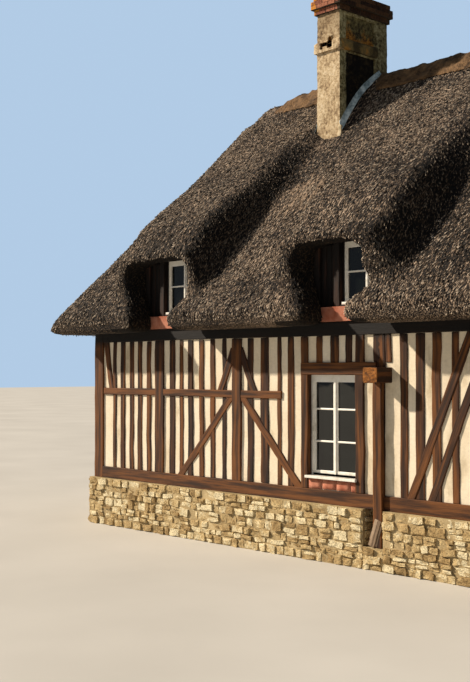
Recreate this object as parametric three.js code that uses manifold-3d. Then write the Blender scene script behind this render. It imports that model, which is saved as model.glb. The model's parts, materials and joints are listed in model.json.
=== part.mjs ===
// A thatched, half-timbered cottage at its real size, in millimetres, with +Z up.
// X runs along the house, the front faces -Y, and the origin is on the ground at its centre.
import * as THREE from 'three';
import { mergeVertices } from 'three/addons/utils/BufferGeometryUtils.js';
import Module from 'manifold-3d';

const wasm = await Module();
wasm.setup();

// Walls
const LENGTH = 10800;
const WIDTH = 6000;
const WALL = 180;
const PROUD = 18;
const TIMBER_DEPTH = 110;
const SIT = 0.3;
const HALF_LENGTH = LENGTH / 2;
const HALF_WIDTH = WIDTH / 2;

// Storey heights
const PLINTH_TOP = 700;
const PLINTH_PROUD = 80;
const PLINTH_THICK = 400;
const SILL_TOP = 870;
const PLATE_BOTTOM = 2760;
const PLATE_TOP = 2930;
const RAIL_BOTTOM = 1970;
const RAIL_TOP = 2070;
const GROUND_FLOOR_TOP = 120;
const BEAM_BOTTOM = 2190;
const BEAM_TOP = 2370;
const ATTIC_FLOOR_TOP = 2430;

// Roof
const OVERHANG = 550;
const EAVE_BOTTOM = 2880;
const EAVE_TOP = 3100;
const RIDGE_TOP = 6800;
const THATCH = 300;
const HIP_RUN = 1150;
const HIP_ROUNDING = 350;
const ROOF_HALF_LENGTH = HALF_LENGTH + OVERHANG;
const ROOF_HALF_WIDTH = HALF_WIDTH + OVERHANG;
const RIDGE_HALF_LENGTH = ROOF_HALF_LENGTH - HIP_RUN;
const MAIN_PITCH = (RIDGE_TOP - EAVE_TOP) / ROOF_HALF_WIDTH;
const HIP_PITCH = (RIDGE_TOP - EAVE_TOP) / HIP_RUN;

// Dormers, by the centre of each window, measured along the front from the left corner
const DORMER_CENTERS = [2030, 5400, 8770];
const DORMER_WINDOW_WIDTH = 700;
const DORMER_SILL = 3130;
const DORMER_HEAD = 3860;
const DORMER_POST = 120;
const HOOD_SHIFT = -300;
const HOOD_HALF_TOP = 730;
const HOOD_FLANK_LOW = 270;
const HOOD_FLANK_HIGH = 520;
const HOOD_RISE = 790;
const LIP_DROP = 190;
const HOOD_FRONT = HALF_WIDTH + 300;
const HOOD_BACK = 330;
const MIDDLE_DORMER = 5400;
const MIDDLE_CHEEK_IN = 200;

// Ground-floor openings, measured along the front from the left corner
const WINDOW_LEFT = 4491;
const WINDOW_RIGHT = 5280;
const WINDOW_SILL = 1000;
const WINDOW_HEAD = 2280;
const LINTEL_TOP = 2430;
const DOOR_LEFT = 7700;
const DOOR_RIGHT = 8620;
const DOOR_SILL = 150;
const DOOR_HEAD = 2150;
const GLASS = 8;

// Chimney, measured along the front and back from the front wall
const STACK_LEFT = 2740;
const STACK_RIGHT = 3190;
const STACK_FRONT = -950;
const STACK_BACK = 140;
const FLUE_WALL = 110;
const FLUE_BOTTOM = 900;
const LEDGE_BOTTOM = 7100;
const LEDGE_TOP = 7240;
const LEDGE_PROUD = 40;
const STACK_TOP = 7660;
const CAP_TOP = 7950;

// The post under the projecting beam, and the niche in the plinth where it stands
const BEAM_LEFT = 5600;
const BEAM_RIGHT = 5820;
const BEAM_REACH = 270;
const NICHE_LEFT = 5435;
const NICHE_RIGHT = 5740;
const NICHE_FLOOR = 265;
const NICHE_DEPTH = 230;

// Finishes
const paints = {
  stone: { color: 0xd2bb90, roughness: 0.9, metalness: 0 },
  timber: { color: 0x5a3420, roughness: 0.8, metalness: 0 },
  plaster: { color: 0xeadcbc, roughness: 0.9, metalness: 0 },
  thatch: { color: 0x6b5a4e, roughness: 1, metalness: 0 },
  boards: { color: 0x8a6a48, roughness: 0.8, metalness: 0 },
  paint: { color: 0xf2efe6, roughness: 0.5, metalness: 0 },
  glass: { color: 0x20262a, roughness: 0.05, metalness: 0 },
  terracotta: { color: 0xcf7a55, roughness: 0.8, metalness: 0 },
  render: { color: 0xc0ab85, roughness: 0.95, metalness: 0 },
  brick: { color: 0x94503a, roughness: 0.9, metalness: 0 },
  lead: { color: 0x93a4ad, roughness: 0.5, metalness: 0.6 },
  clay: { color: 0x6a5038, roughness: 1, metalness: 0 },
  floor: { color: 0xb49c80, roughness: 0.9, metalness: 0 },
};

// Closed surfaces to solids, and back
function toSolid(geometry) {
  const bare = geometry.clone();
  for (const name of Object.keys(bare.attributes)) {
    if (name !== 'position') bare.deleteAttribute(name);
  }
  const merged = mergeVertices(bare, 0.001);
  const vertProperties = new Float32Array(merged.attributes.position.array);
  const triVerts = new Uint32Array(merged.index.array);
  return new wasm.Manifold(new wasm.Mesh({ numProp: 3, vertProperties, triVerts }));
}

function toGeometry(solid) {
  const mesh = solid.getMesh();
  const geometry = new THREE.BufferGeometry();
  geometry.setAttribute('position', new THREE.BufferAttribute(mesh.vertProperties, 3));
  geometry.setIndex(new THREE.BufferAttribute(mesh.triVerts, 1));
  return geometry;
}

// Positions measured along the front become X
function along(distance) {
  return distance - HALF_LENGTH;
}

// A block between two corners
function block(x0, x1, y0, y1, z0, z1) {
  const geometry = new THREE.BoxGeometry(x1 - x0, y1 - y0, z1 - z0);
  geometry.translate((x0 + x1) / 2, (y0 + y1) / 2, (z0 + z1) / 2);
  return toSolid(geometry);
}

// An upright outline in X and Z, given a thickness from y0 to y1
function slabXZ(points, y0, y1) {
  const shape = new THREE.Shape(points.map(([x, z]) => new THREE.Vector2(x, z)));
  const geometry = new THREE.ExtrudeGeometry(shape, { depth: y1 - y0, bevelEnabled: false });
  geometry.rotateX(Math.PI / 2);
  geometry.translate(0, y1, 0);
  return toSolid(geometry);
}

// An upright outline in Y and Z, given a thickness from x0 to x1
function slabYZ(points, x0, x1) {
  const shape = new THREE.Shape(points.map(([y, z]) => new THREE.Vector2(y, z)));
  const geometry = new THREE.ExtrudeGeometry(shape, { depth: x1 - x0, bevelEnabled: false });
  geometry.rotateX(Math.PI / 2);
  geometry.rotateZ(Math.PI / 2);
  geometry.translate(x0, 0, 0);
  return toSolid(geometry);
}

// A flat outline in X and Y, given a height from z0 to z1
function slabXY(points, z0, z1) {
  const shape = new THREE.Shape(points.map(([x, y]) => new THREE.Vector2(x, y)));
  const geometry = new THREE.ExtrudeGeometry(shape, { depth: z1 - z0, bevelEnabled: false });
  geometry.translate(0, 0, z0);
  return toSolid(geometry);
}

function join(solids) {
  return solids.reduce((whole, next) => whole.add(next));
}

const cottage = new THREE.Group();
const WALL_TURN = { front: 0, right: Math.PI / 2, back: Math.PI, left: -Math.PI / 2 };
const WALL_SIDE_DISTANCE = {
  front: HALF_WIDTH,
  right: HALF_LENGTH,
  back: HALF_WIDTH,
  left: HALF_LENGTH,
};

function addPiece(name, solid, paint, parent = cottage) {
  const mesh = new THREE.Mesh(toGeometry(solid), new THREE.MeshStandardMaterial(paints[paint]));
  mesh.name = name;
  parent.add(mesh);
}

// Each wall is made facing -Y about its own middle, with y = 0 at the plaster face,
// and its group turns it to its side of the house.
function wallGroup(side) {
  const group = new THREE.Group();
  const turn = WALL_TURN[side];
  group.rotation.z = turn;
  const distance = WALL_SIDE_DISTANCE[side];
  group.position.set(distance * Math.sin(turn), -distance * Math.cos(turn), 0);
  cottage.add(group);
  return group;
}

// A timber from one point of the wall to another, wider by twice grow
function timber([u0, z0, u1, z1, width], grow) {
  const direction = new THREE.Vector2(u1 - u0, z1 - z0).normalize();
  const across = new THREE.Vector2(-direction.y, direction.x).multiplyScalar(width / 2 + grow);
  const start = new THREE.Vector2(u0, z0).addScaledVector(direction, -grow);
  const end = new THREE.Vector2(u1, z1).addScaledVector(direction, grow);
  const outline = [
    [start.x + across.x, start.y + across.y],
    [start.x - across.x, start.y - across.y],
    [end.x - across.x, end.y - across.y],
    [end.x + across.x, end.y + across.y],
  ];
  return slabXZ(outline, -PROUD - grow, TIMBER_DEPTH + grow);
}

// An upright timber between two levels, which leans by its foot
function stud(center, width, bottom = SILL_TOP, top = PLATE_BOTTOM, lean = 0) {
  const HOUSED = 30;
  return [center + lean, bottom - HOUSED, center, top + HOUSED, width];
}

function rail(left, right, bottom, top) {
  return [left, (bottom + top) / 2, right, (bottom + top) / 2, top - bottom];
}

// The frame of one wall: sill and plate are full depth, and the rest is housed in the plaster.
// Openings are given as [left, right, bottom, top].
function wallPieces(side, half, corner, timbers, openings, sillGaps, holes) {
  const group = wallGroup(side);
  const beams = [block(-half, half, -PROUD, WALL, PLATE_BOTTOM, PLATE_TOP)];
  const sillEnds = [-half, ...sillGaps, half];
  for (let i = 0; i < sillEnds.length; i += 2) {
    beams.push(block(sillEnds[i], sillEnds[i + 1], -PROUD, WALL, PLINTH_TOP, SILL_TOP));
  }
  if (corner > 0) {
    beams.push(block(-half, -half + corner, -PROUD, WALL, PLINTH_TOP, PLATE_TOP));
    beams.push(block(half - corner, half, -PROUD, WALL, PLINTH_TOP, PLATE_TOP));
  }
  const bounds = block(-half, half, -PROUD, WALL, PLINTH_TOP, PLATE_TOP);
  const cutFrame = [...openings, ...holes].map(([left, right, bottom, top]) =>
    block(left, right, -2 * WALL, 2 * WALL, bottom, top));
  let frame = join([...beams, ...timbers.map((piece) => timber(piece, 0))]).intersect(bounds);
  let plaster = block(-half + corner + SIT, half - corner - SIT, 0, WALL,
    SILL_TOP + SIT, PLATE_BOTTOM - SIT);
  plaster = plaster.subtract(join(timbers.map((piece) => timber(piece, SIT))));
  for (const cut of cutFrame) {
    frame = frame.subtract(cut);
    plaster = plaster.subtract(cut);
  }
  addPiece(`${side}_frame`, frame, 'timber', group);
  addPiece(`${side}_plaster`, plaster, 'plaster', group);
  return group;
}

// A two-leaf casement with its sill board, seated in an opening
function addCasement(name, group, left, right, bottom, top, sillReach) {
  const FRAME = 58;
  const FRONT = 55;
  const BACK = 105;
  const SILL_BOARD = 35;
  const middle = (left + right) / 2;
  const outer = block(left + SIT, right - SIT, FRONT, BACK, bottom + SIT, top - SIT);
  const leftPane = block(left + FRAME, middle - FRAME / 2, 0, WALL, bottom + FRAME + SILL_BOARD, top - FRAME);
  const rightPane = block(middle + FRAME / 2, right - FRAME, 0, WALL, bottom + FRAME + SILL_BOARD, top - FRAME);
  const sill = block(left + SIT, right - SIT, -sillReach, BACK, bottom + SIT, bottom + SILL_BOARD);
  addPiece(`${name}_casement`, outer.subtract(leftPane).subtract(rightPane).add(sill), 'paint', group);
  const glassFront = BACK + SIT;
  const glass = block(left + FRAME / 2, right - FRAME / 2, glassFront, glassFront + GLASS,
    bottom + SILL_BOARD + FRAME / 2, top - FRAME / 2);
  addPiece(`${name}_glass`, glass, 'glass', group);
}

// Front wall: close studding with the main posts, and braces in an inverted V at a main post
const MAIN_POST = { center: 3185, width: 170 };
const SECOND_POST = { center: 1545, width: 190 };
const CORNER = WALL + PROUD;
const WINDOW_POST = 112;
const LEFT_BAY_STUDS = [
  [460, 80], [665, 105], [885, 95], [1080, 100], [1295, 95], [1825, 120], [2030, 80],
  [2230, 105], [2465, 90], [2695, 95], [2935, 80], [3440, 110], [3710, 150],
];
const MIDDLE_STUDS = [[3980, 70], [4185, 110], [6000, 110], [6235, 130], [6465, 120], [6720, 95]];
const SHORT_STUDS = [[4680, 100], [4925, 130], [5160, 105], [5595, 105], [5770, 90]];
const BRACE = 105;
const BRACE_TOP = 2620;

function leftBay(mirrored) {
  const place = (distance) => (mirrored ? -along(distance) : along(distance));
  const timbers = [];
  for (const [center, width] of LEFT_BAY_STUDS) {
    const position = mirrored ? LENGTH - center : center;
    const overDoor = position > DOOR_LEFT - width && position < DOOR_RIGHT + width;
    timbers.push(stud(place(center), width, overDoor ? LINTEL_TOP - 100 : SILL_TOP));
  }
  for (const post of [MAIN_POST, SECOND_POST]) {
    timbers.push(stud(place(post.center), post.width));
  }
  timbers.push([place(250), PLATE_BOTTOM + 20, place(400), RAIL_BOTTOM, 100]);
  timbers.push([place(MAIN_POST.center - 60), BRACE_TOP, place(2797), RAIL_BOTTOM, BRACE]);
  timbers.push([place(MAIN_POST.center + 60), BRACE_TOP, place(3572), RAIL_BOTTOM, BRACE]);
  return timbers;
}

const frontTimbers = [
  ...leftBay(false),
  ...leftBay(true),
  ...MIDDLE_STUDS.map(([center, width]) => stud(along(center), width)),
  ...SHORT_STUDS.map(([center, width]) => stud(along(center), width, LINTEL_TOP - 60)),
  stud(along(WINDOW_LEFT - WINDOW_POST / 2), WINDOW_POST),
  stud(along(WINDOW_RIGHT + 65), 130),
  rail(along(CORNER), along(4030), RAIL_BOTTOM, RAIL_TOP),
  rail(along(DOOR_RIGHT + 60), along(LENGTH - CORNER), RAIL_BOTTOM, RAIL_TOP),
  rail(along(WINDOW_LEFT - WINDOW_POST), along(BEAM_LEFT), WINDOW_HEAD, LINTEL_TOP),
  rail(along(DOOR_LEFT - 40), along(DOOR_RIGHT + 120), DOOR_HEAD, DOOR_HEAD + 150),
  stud(along(DOOR_RIGHT + 60), 120, PLINTH_TOP),
  stud(along(BEAM_LEFT + 60), 120),
  [along(3250), RAIL_TOP, along(4330), SILL_TOP, BRACE],
  [along(3120), RAIL_TOP, along(2040), SILL_TOP, BRACE],
  [along(6950), PLATE_BOTTOM, along(6110), SILL_TOP, BRACE],
  [along(6960), 2200, along(6400), SILL_TOP, BRACE],
  stud(along(7000), 150),
];
const frontWindow = [along(WINDOW_LEFT), along(WINDOW_RIGHT), WINDOW_SILL, WINDOW_HEAD];
const frontDoor = [along(DOOR_LEFT), along(DOOR_RIGHT), 0, DOOR_HEAD];
const beamHole = [along(BEAM_LEFT) - SIT, along(BEAM_RIGHT) + SIT, BEAM_BOTTOM - SIT, BEAM_TOP + SIT];
const FRAME_HALF_LENGTH = HALF_LENGTH + PROUD;
const END_HALF = HALF_WIDTH - WALL - SIT;
const front = wallPieces('front', FRAME_HALF_LENGTH, CORNER, frontTimbers,
  [frontWindow, frontDoor], [along(DOOR_LEFT), along(DOOR_RIGHT)], [beamHole]);
addCasement('front_window', front, ...frontWindow, 30);

// The plank door, plain and shut
addPiece('front_door', block(along(DOOR_LEFT) + SIT, along(DOOR_RIGHT) - SIT, 50, 105,
  DOOR_SILL + SIT, DOOR_HEAD - SIT), 'boards', front);

// Evenly spaced studs on the unseen walls, left out where an opening is
function evenStuds(half, spacing, width, openings) {
  const timbers = [];
  const count = Math.round((2 * half) / spacing);
  for (let i = 1; i < count; i += 1) {
    const center = -half + (i * 2 * half) / count;
    const over = openings.find(([left, right]) => center > left - width && center < right + width);
    timbers.push(over ? stud(center, width, over[3] + 60) : stud(center, width));
  }
  return timbers;
}

function openingFrame([left, right, , top]) {
  return [
    stud(left - WINDOW_POST / 2, WINDOW_POST),
    stud(right + WINDOW_POST / 2, WINDOW_POST),
    rail(left - WINDOW_POST, right + WINDOW_POST, top, top + 150),
  ];
}

function bracedPost(center, foot) {
  return [
    stud(center, MAIN_POST.width),
    [center - 60, BRACE_TOP, center - foot, RAIL_BOTTOM, BRACE],
    [center + 60, BRACE_TOP, center + foot, RAIL_BOTTOM, BRACE],
  ];
}

// Back wall, with two casements like the front one
const BACK_WINDOW_CENTER = 2300;
const HALF_WINDOW = (WINDOW_RIGHT - WINDOW_LEFT) / 2;
const backWindows = [-1, 1].map((sign) => [
  sign * BACK_WINDOW_CENTER - HALF_WINDOW,
  sign * BACK_WINDOW_CENTER + HALF_WINDOW,
  WINDOW_SILL,
  WINDOW_HEAD,
]);
const backTimbers = [
  ...evenStuds(FRAME_HALF_LENGTH - CORNER, 300, 105, backWindows),
  ...backWindows.flatMap(openingFrame),
  ...bracedPost(0, 390),
  rail(-1700, 1700, RAIL_BOTTOM, RAIL_TOP),
];
const back = wallPieces('back', FRAME_HALF_LENGTH, CORNER, backTimbers, backWindows, [], []);
addCasement('back_left_window', back, ...backWindows[1], 30);
addCasement('back_right_window', back, ...backWindows[0], 30);

// End walls, between the corner posts of the long walls
for (const side of ['left', 'right']) {
  const timbers = [
    ...evenStuds(END_HALF, 300, 105, []),
    ...bracedPost(0, 390),
    rail(-END_HALF, END_HALF, RAIL_BOTTOM, RAIL_TOP),
  ];
  wallPieces(side, END_HALF, 0, timbers, [], [], []);
}

// Rubble plinth in five lengths, with the niche near the middle of the front
const PLINTH_HALF_LENGTH = HALF_LENGTH + PLINTH_PROUD;
const PLINTH_OUTER = HALF_WIDTH + PLINTH_PROUD;
const PLINTH_INNER = PLINTH_OUTER - PLINTH_THICK;
const PLINTH_HEIGHT = PLINTH_TOP - SIT;
const niche = block(along(NICHE_LEFT), along(NICHE_RIGHT), -PLINTH_OUTER - SIT,
  -PLINTH_OUTER + NICHE_DEPTH, NICHE_FLOOR, PLINTH_TOP);
const frontLength = block(-PLINTH_HALF_LENGTH, along(DOOR_LEFT), -PLINTH_OUTER, -PLINTH_INNER, 0, PLINTH_HEIGHT);
addPiece('front_plinth_left', frontLength.subtract(niche), 'stone');
addPiece('front_plinth_right', block(along(DOOR_RIGHT), PLINTH_HALF_LENGTH, -PLINTH_OUTER,
  -PLINTH_INNER, 0, PLINTH_HEIGHT), 'stone');
addPiece('back_plinth', block(-PLINTH_HALF_LENGTH, PLINTH_HALF_LENGTH, PLINTH_INNER,
  PLINTH_OUTER, 0, PLINTH_HEIGHT), 'stone');
const END_PLINTH_INNER = PLINTH_HALF_LENGTH - PLINTH_THICK;
addPiece('left_plinth', block(-PLINTH_HALF_LENGTH, -END_PLINTH_INNER, -PLINTH_INNER + SIT,
  PLINTH_INNER - SIT, 0, PLINTH_HEIGHT), 'stone');
addPiece('right_plinth', block(END_PLINTH_INNER, PLINTH_HALF_LENGTH, -PLINTH_INNER + SIT,
  PLINTH_INNER - SIT, 0, PLINTH_HEIGHT), 'stone');
addPiece('door_step', block(along(DOOR_LEFT) + SIT, along(DOOR_RIGHT) - SIT, -PLINTH_OUTER,
  -PLINTH_INNER - SIT, 0, DOOR_SILL), 'stone');

// Floors, beams and the post under the projecting beam
const stackHole = block(along(STACK_LEFT) - SIT, along(STACK_RIGHT) + SIT, STACK_FRONT - SIT,
  STACK_BACK + SIT, -SIT, CAP_TOP);
addPiece('ground_floor', block(-END_PLINTH_INNER + SIT, END_PLINTH_INNER - SIT, -PLINTH_INNER + SIT,
  PLINTH_INNER - SIT, 0, GROUND_FLOOR_TOP).subtract(stackHole), 'floor');
const INSIDE_HALF_LENGTH = HALF_LENGTH - WALL - SIT;
const INSIDE_HALF_WIDTH = HALF_WIDTH - WALL - SIT;
addPiece('attic_floor', block(-INSIDE_HALF_LENGTH, INSIDE_HALF_LENGTH, -INSIDE_HALF_WIDTH,
  INSIDE_HALF_WIDTH, BEAM_TOP + SIT, ATTIC_FLOOR_TOP).subtract(stackHole), 'boards');
addPiece('middle_beam', block(along(BEAM_LEFT), along(BEAM_RIGHT), -HALF_WIDTH - BEAM_REACH,
  INSIDE_HALF_WIDTH, BEAM_BOTTOM, BEAM_TOP), 'timber');
const BEAM_WIDTH = BEAM_RIGHT - BEAM_LEFT;
const INNER_BEAMS = { left_beam: 1545, right_beam: 9255 };
for (const [name, center] of Object.entries(INNER_BEAMS)) {
  addPiece(name, block(along(center) - BEAM_WIDTH / 2, along(center) + BEAM_WIDTH / 2,
    -INSIDE_HALF_WIDTH, INSIDE_HALF_WIDTH, BEAM_BOTTOM, BEAM_TOP), 'timber');
}
addPiece('beam_post', block(along(5590), along(5720), -PLINTH_OUTER, -HALF_WIDTH - PROUD - SIT,
  NICHE_FLOOR + SIT, BEAM_BOTTOM - SIT), 'timber');

// Chimney stack with its ledge and open flue, and the brick cap
const stackX = [along(STACK_LEFT), along(STACK_RIGHT)];
const flue = block(stackX[0] + FLUE_WALL, stackX[1] - FLUE_WALL, STACK_FRONT + FLUE_WALL,
  STACK_BACK - FLUE_WALL, FLUE_BOTTOM, CAP_TOP + 1);

function course(proud, bottom, top) {
  return block(stackX[0] - proud, stackX[1] + proud, STACK_FRONT - proud, STACK_BACK + proud, bottom, top);
}

const PANEL_DEPTH = 15;
const panel = block(stackX[1] - PANEL_DEPTH, stackX[1] + 1, STACK_FRONT + 150, STACK_BACK - 150, 6750, 7020);
const stack = join([course(0, 0, STACK_TOP), course(LEDGE_PROUD, LEDGE_BOTTOM, LEDGE_TOP)]);
addPiece('chimney_stack', stack.subtract(flue).subtract(panel), 'render');
const cap = join([
  course(30, STACK_TOP + SIT, 7745),
  course(65, 7740, 7865),
  course(35, 7860, CAP_TOP),
]);
addPiece('chimney_cap', cap.subtract(flue), 'brick');

// Roof planes, as heights over the plan
function mainHeight(y) {
  return EAVE_TOP + (ROOF_HALF_WIDTH - Math.abs(y)) * MAIN_PITCH;
}

function hipHeight(x) {
  return EAVE_TOP + (ROOF_HALF_LENGTH - Math.abs(x)) * HIP_PITCH;
}

function smoothStep(share) {
  const t = Math.min(Math.max(share, 0), 1);
  return t * t * (3 - 2 * t);
}

// The reed lies in low swells about a metre apart, and goes flat towards the ridge, the hips, the
// eaves and the stack.
const SWELL_HEIGHT = 34;
const SWELL_SPACING = 1100;
const SWELL_MARGIN = 150;
const SWELL_FADE = 400;

function swellShare(x, y) {
  const hipX = RIDGE_HALF_LENGTH + (Math.abs(y) * HIP_RUN) / ROOF_HALF_WIDTH;
  const offStack = Math.max(stackX[0] - x, x - stackX[1], STACK_FRONT - y, y - STACK_BACK);
  const off = Math.min(hipX - Math.abs(x), offStack, Math.abs(y) - HOOD_BACK);
  return smoothStep((off - SWELL_MARGIN) / SWELL_FADE);
}

function swell(x, y) {
  const turn = (2 * Math.PI) / SWELL_SPACING;
  const down = Math.abs(y) * Math.hypot(1, MAIN_PITCH);
  const lengthwise = 0.5 + 0.5 * Math.sin(turn * x + Math.sin(down / 600));
  const downhill = 0.5 + 0.5 * Math.sin(turn * down + 1.3 * Math.sin(x / 900));
  return SWELL_HEIGHT * lengthwise * downhill * swellShare(x, y);
}

// A hood is flat across its top, with steep flanks that spread out up the slope, and it rolls
// down to a lip at its front.
function hoodFlank(y) {
  const up = (HOOD_FRONT + y) / (HOOD_FRONT - HOOD_BACK);
  return HOOD_FLANK_LOW + (HOOD_FLANK_HIGH - HOOD_FLANK_LOW) * Math.min(2 * up, 1);
}

function hoodHeight(x, y, center) {
  const side = smoothStep((Math.abs(x - center) - HOOD_HALF_TOP) / hoodFlank(y));
  const share = (-y - HOOD_BACK) / (HOOD_FRONT - HOOD_BACK);
  const rise = HOOD_RISE * share - LIP_DROP * smoothStep((share - 0.84) / 0.16);
  const fullness = smoothStep((rise * (1 - side)) / 200);
  return mainHeight(y) + rise * (1 - side) + swell(x, y) * fullness - SIT;
}

// A closed body under a surface of heights, down to a flat bottom
function bodyUnder(xs, ys, height, bottom) {
  const positions = [];
  const index = [];
  const columns = ys.length;
  for (const level of [height, () => bottom]) {
    for (const x of xs) {
      for (const y of ys) positions.push(x, y, level(x, y));
    }
  }
  const lower = xs.length * columns;
  const at = (i, j) => i * columns + j;
  for (let i = 0; i + 1 < xs.length; i += 1) {
    for (let j = 0; j + 1 < columns; j += 1) {
      const [a, b, c, d] = [at(i, j), at(i + 1, j), at(i + 1, j + 1), at(i, j + 1)];
      index.push(a, b, c, a, c, d);
      index.push(lower + a, lower + c, lower + b, lower + a, lower + d, lower + c);
    }
  }
  const wall = (a, b) => index.push(a, lower + a, lower + b, a, lower + b, b);
  for (let i = 0; i + 1 < xs.length; i += 1) {
    wall(at(i, 0), at(i + 1, 0));
    wall(at(i + 1, columns - 1), at(i, columns - 1));
  }
  for (let j = 0; j + 1 < columns; j += 1) {
    wall(at(0, j + 1), at(0, j));
    wall(at(xs.length - 1, j), at(xs.length - 1, j + 1));
  }
  const geometry = new THREE.BufferGeometry();
  geometry.setAttribute('position', new THREE.Float32BufferAttribute(positions, 3));
  geometry.setIndex(index);
  return toSolid(geometry);
}

function steps(start, end, count) {
  return Array.from({ length: count + 1 }, (unused, i) => start + ((end - start) * i) / count);
}

// The swells of one long slope. Where it lies flat their body dips under the roof's own planes.
function swellBody(sign) {
  const DIP = 200;
  const SUNK = 3;
  const xs = steps(-RIDGE_HALF_LENGTH - 600, RIDGE_HALF_LENGTH + 600, 40);
  const ys = steps(sign * HOOD_BACK, sign * (ROOF_HALF_WIDTH - 60), 12).sort((a, b) => a - b);
  const height = (x, y) => Math.min(mainHeight(y), hipHeight(x)) - SUNK - DIP * (1 - swellShare(x, y)) ** 3;
  return bodyUnder(xs, ys, (x, y) => height(x, y) + swell(x, y), EAVE_BOTTOM);
}

// A hipped body: one profile across the house, and one along it
function hippedBody(halfLength, halfWidth, bottom, mainDrop, hipDrop) {
  const across = [
    [-halfWidth, bottom],
    [halfWidth, bottom],
    [halfWidth, mainHeight(halfWidth) - mainDrop],
    [0, mainHeight(0) - mainDrop],
    [-halfWidth, mainHeight(halfWidth) - mainDrop],
  ];
  const top = RIDGE_TOP + 1;
  const topX = ROOF_HALF_LENGTH - (top + hipDrop - EAVE_TOP) / HIP_PITCH;
  const lengthwise = [
    [-halfLength, bottom],
    [halfLength, bottom],
    [halfLength, hipHeight(halfLength) - hipDrop],
    [topX, top],
    [-topX, top],
    [-halfLength, hipHeight(halfLength) - hipDrop],
  ];
  return slabYZ(across, -halfLength, halfLength).intersect(slabXZ(lengthwise, -halfWidth, halfWidth));
}

// What lies beyond a plane, as a block to cut away
function beyondPlane(normal, distance) {
  const SIZE = 30000;
  const geometry = new THREE.BoxGeometry(SIZE, SIZE, SIZE);
  geometry.translate(0, 0, distance + SIZE / 2);
  const turn = new THREE.Quaternion().setFromUnitVectors(new THREE.Vector3(0, 0, 1), normal);
  geometry.applyQuaternion(turn);
  return toSolid(geometry);
}

// Each hip is rounded by a few flats around an axis set in from both slopes
const HIP_FLATS = 3;

function hipFlats(signX, signY) {
  const corner = new THREE.Vector3(signX * ROOF_HALF_LENGTH, signY * ROOF_HALF_WIDTH, EAVE_TOP);
  const slope = new THREE.Vector3(0, signY * MAIN_PITCH, 1).normalize();
  const end = new THREE.Vector3(signX * HIP_PITCH, 0, 1).normalize();
  const inward = new THREE.Vector3().addVectors(slope, end);
  inward.multiplyScalar(-HIP_ROUNDING / (1 + slope.dot(end)));
  const axisPoint = corner.clone().add(inward);
  return steps(0, 1, HIP_FLATS + 1).slice(1, -1).map((share) => {
    const normal = slope.clone().lerp(end, share).normalize();
    return beyondPlane(normal, normal.dot(axisPoint) + HIP_ROUNDING);
  });
}

// The hidden side of the roof is the same planes, set in by the thatch's thickness
const MAIN_DROP = THATCH * Math.hypot(1, MAIN_PITCH);
const HIP_DROP = THATCH * Math.hypot(1, HIP_PITCH);
const ATTIC_HALF_LENGTH = FRAME_HALF_LENGTH + SIT;
const ATTIC_HALF_WIDTH = HALF_WIDTH + PROUD + SIT;

function innerHeight(y) {
  return mainHeight(y) - MAIN_DROP;
}

// Each hood is swept over its window and runs up the roof until it dies out near the ridge
const DORMER_HALF = DORMER_WINDOW_WIDTH / 2 + DORMER_POST;
const SIDE_BOARDS = 330;

function hood(windowCenter) {
  const center = windowCenter + HOOD_SHIFT;
  const flank = steps(0, HOOD_FLANK_HIGH, 5).map((run) => HOOD_HALF_TOP + run);
  const across = [...flank.map((run) => -run).reverse(), -HOOD_HALF_TOP / 2, 0, HOOD_HALF_TOP / 2, ...flank];
  const xs = across.map((run) => center + run);
  const lip = steps(-HOOD_FRONT, -HOOD_FRONT + 480, 4);
  const ys = [...lip, ...steps(-HOOD_FRONT + 480, -HOOD_BACK, 9).slice(1)];
  return bodyUnder(xs, ys, (x, y) => hoodHeight(x, y, center), EAVE_BOTTOM);
}

// The mouth under a hood, wide at the top and narrow at the eave. Its cheeks are splayed: each
// row gives X at the outside, X at the window and the height, from the middle of the window.
// The middle dormer's right cheek stands further in.
const MOUTH_ROWS = [
  [-460, -560, 2680],
  [230, 300, 2680],
  [260, 300, 3100],
  [370, 440, 3330],
  [380, 440, 3720],
  [330, 380, 3830],
  [180, 200, 3870],
  [-950, -700, 3870],
  [-1100, -770, 3840],
  [-1160, -800, 3730],
  [-1080, -790, 3520],
  [-800, -700, 3300],
  [-480, -600, 3080],
];

function mouth(center) {
  const cheekIn = center === along(MIDDLE_DORMER) ? MIDDLE_CHEEK_IN : 0;
  const outers = MOUTH_ROWS.map(([outer]) => outer - (outer > 0 ? cheekIn : 0));
  const outline = MOUTH_ROWS.map(([, , z], i) => new THREE.Vector2(outers[i], z));
  const rows = MOUTH_ROWS.length;
  const outside = MOUTH_ROWS.flatMap(([, , z], i) => [center + outers[i], -ROOF_HALF_WIDTH - 100, z]);
  const inside = MOUTH_ROWS.flatMap(([, inner, z]) => [center + inner, -ATTIC_HALF_WIDTH, z]);
  const index = [];
  for (const [a, b, c] of THREE.ShapeUtils.triangulateShape(outline, [])) {
    index.push(a, b, c, rows + a, rows + c, rows + b);
  }
  for (let i = 0; i < rows; i += 1) {
    const next = (i + 1) % rows;
    index.push(i, rows + i, rows + next, i, rows + next, next);
  }
  const geometry = new THREE.BufferGeometry();
  geometry.setAttribute('position', new THREE.Float32BufferAttribute([...outside, ...inside], 3));
  geometry.setIndex(index);
  return toSolid(geometry);
}

const HEAD_TOP = DORMER_HEAD + 80;

function dormerOutline(center, grow) {
  const left = center - DORMER_HALF - SIDE_BOARDS - grow;
  const right = center + DORMER_HALF + grow;
  return [
    [left, PLATE_TOP],
    [right, PLATE_TOP],
    [right, HEAD_TOP + grow],
    [left + SIDE_BOARDS, HEAD_TOP + grow],
    [left, HEAD_TOP - 100 + grow],
  ];
}

const APRON_TOP = DORMER_SILL - 20;

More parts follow.
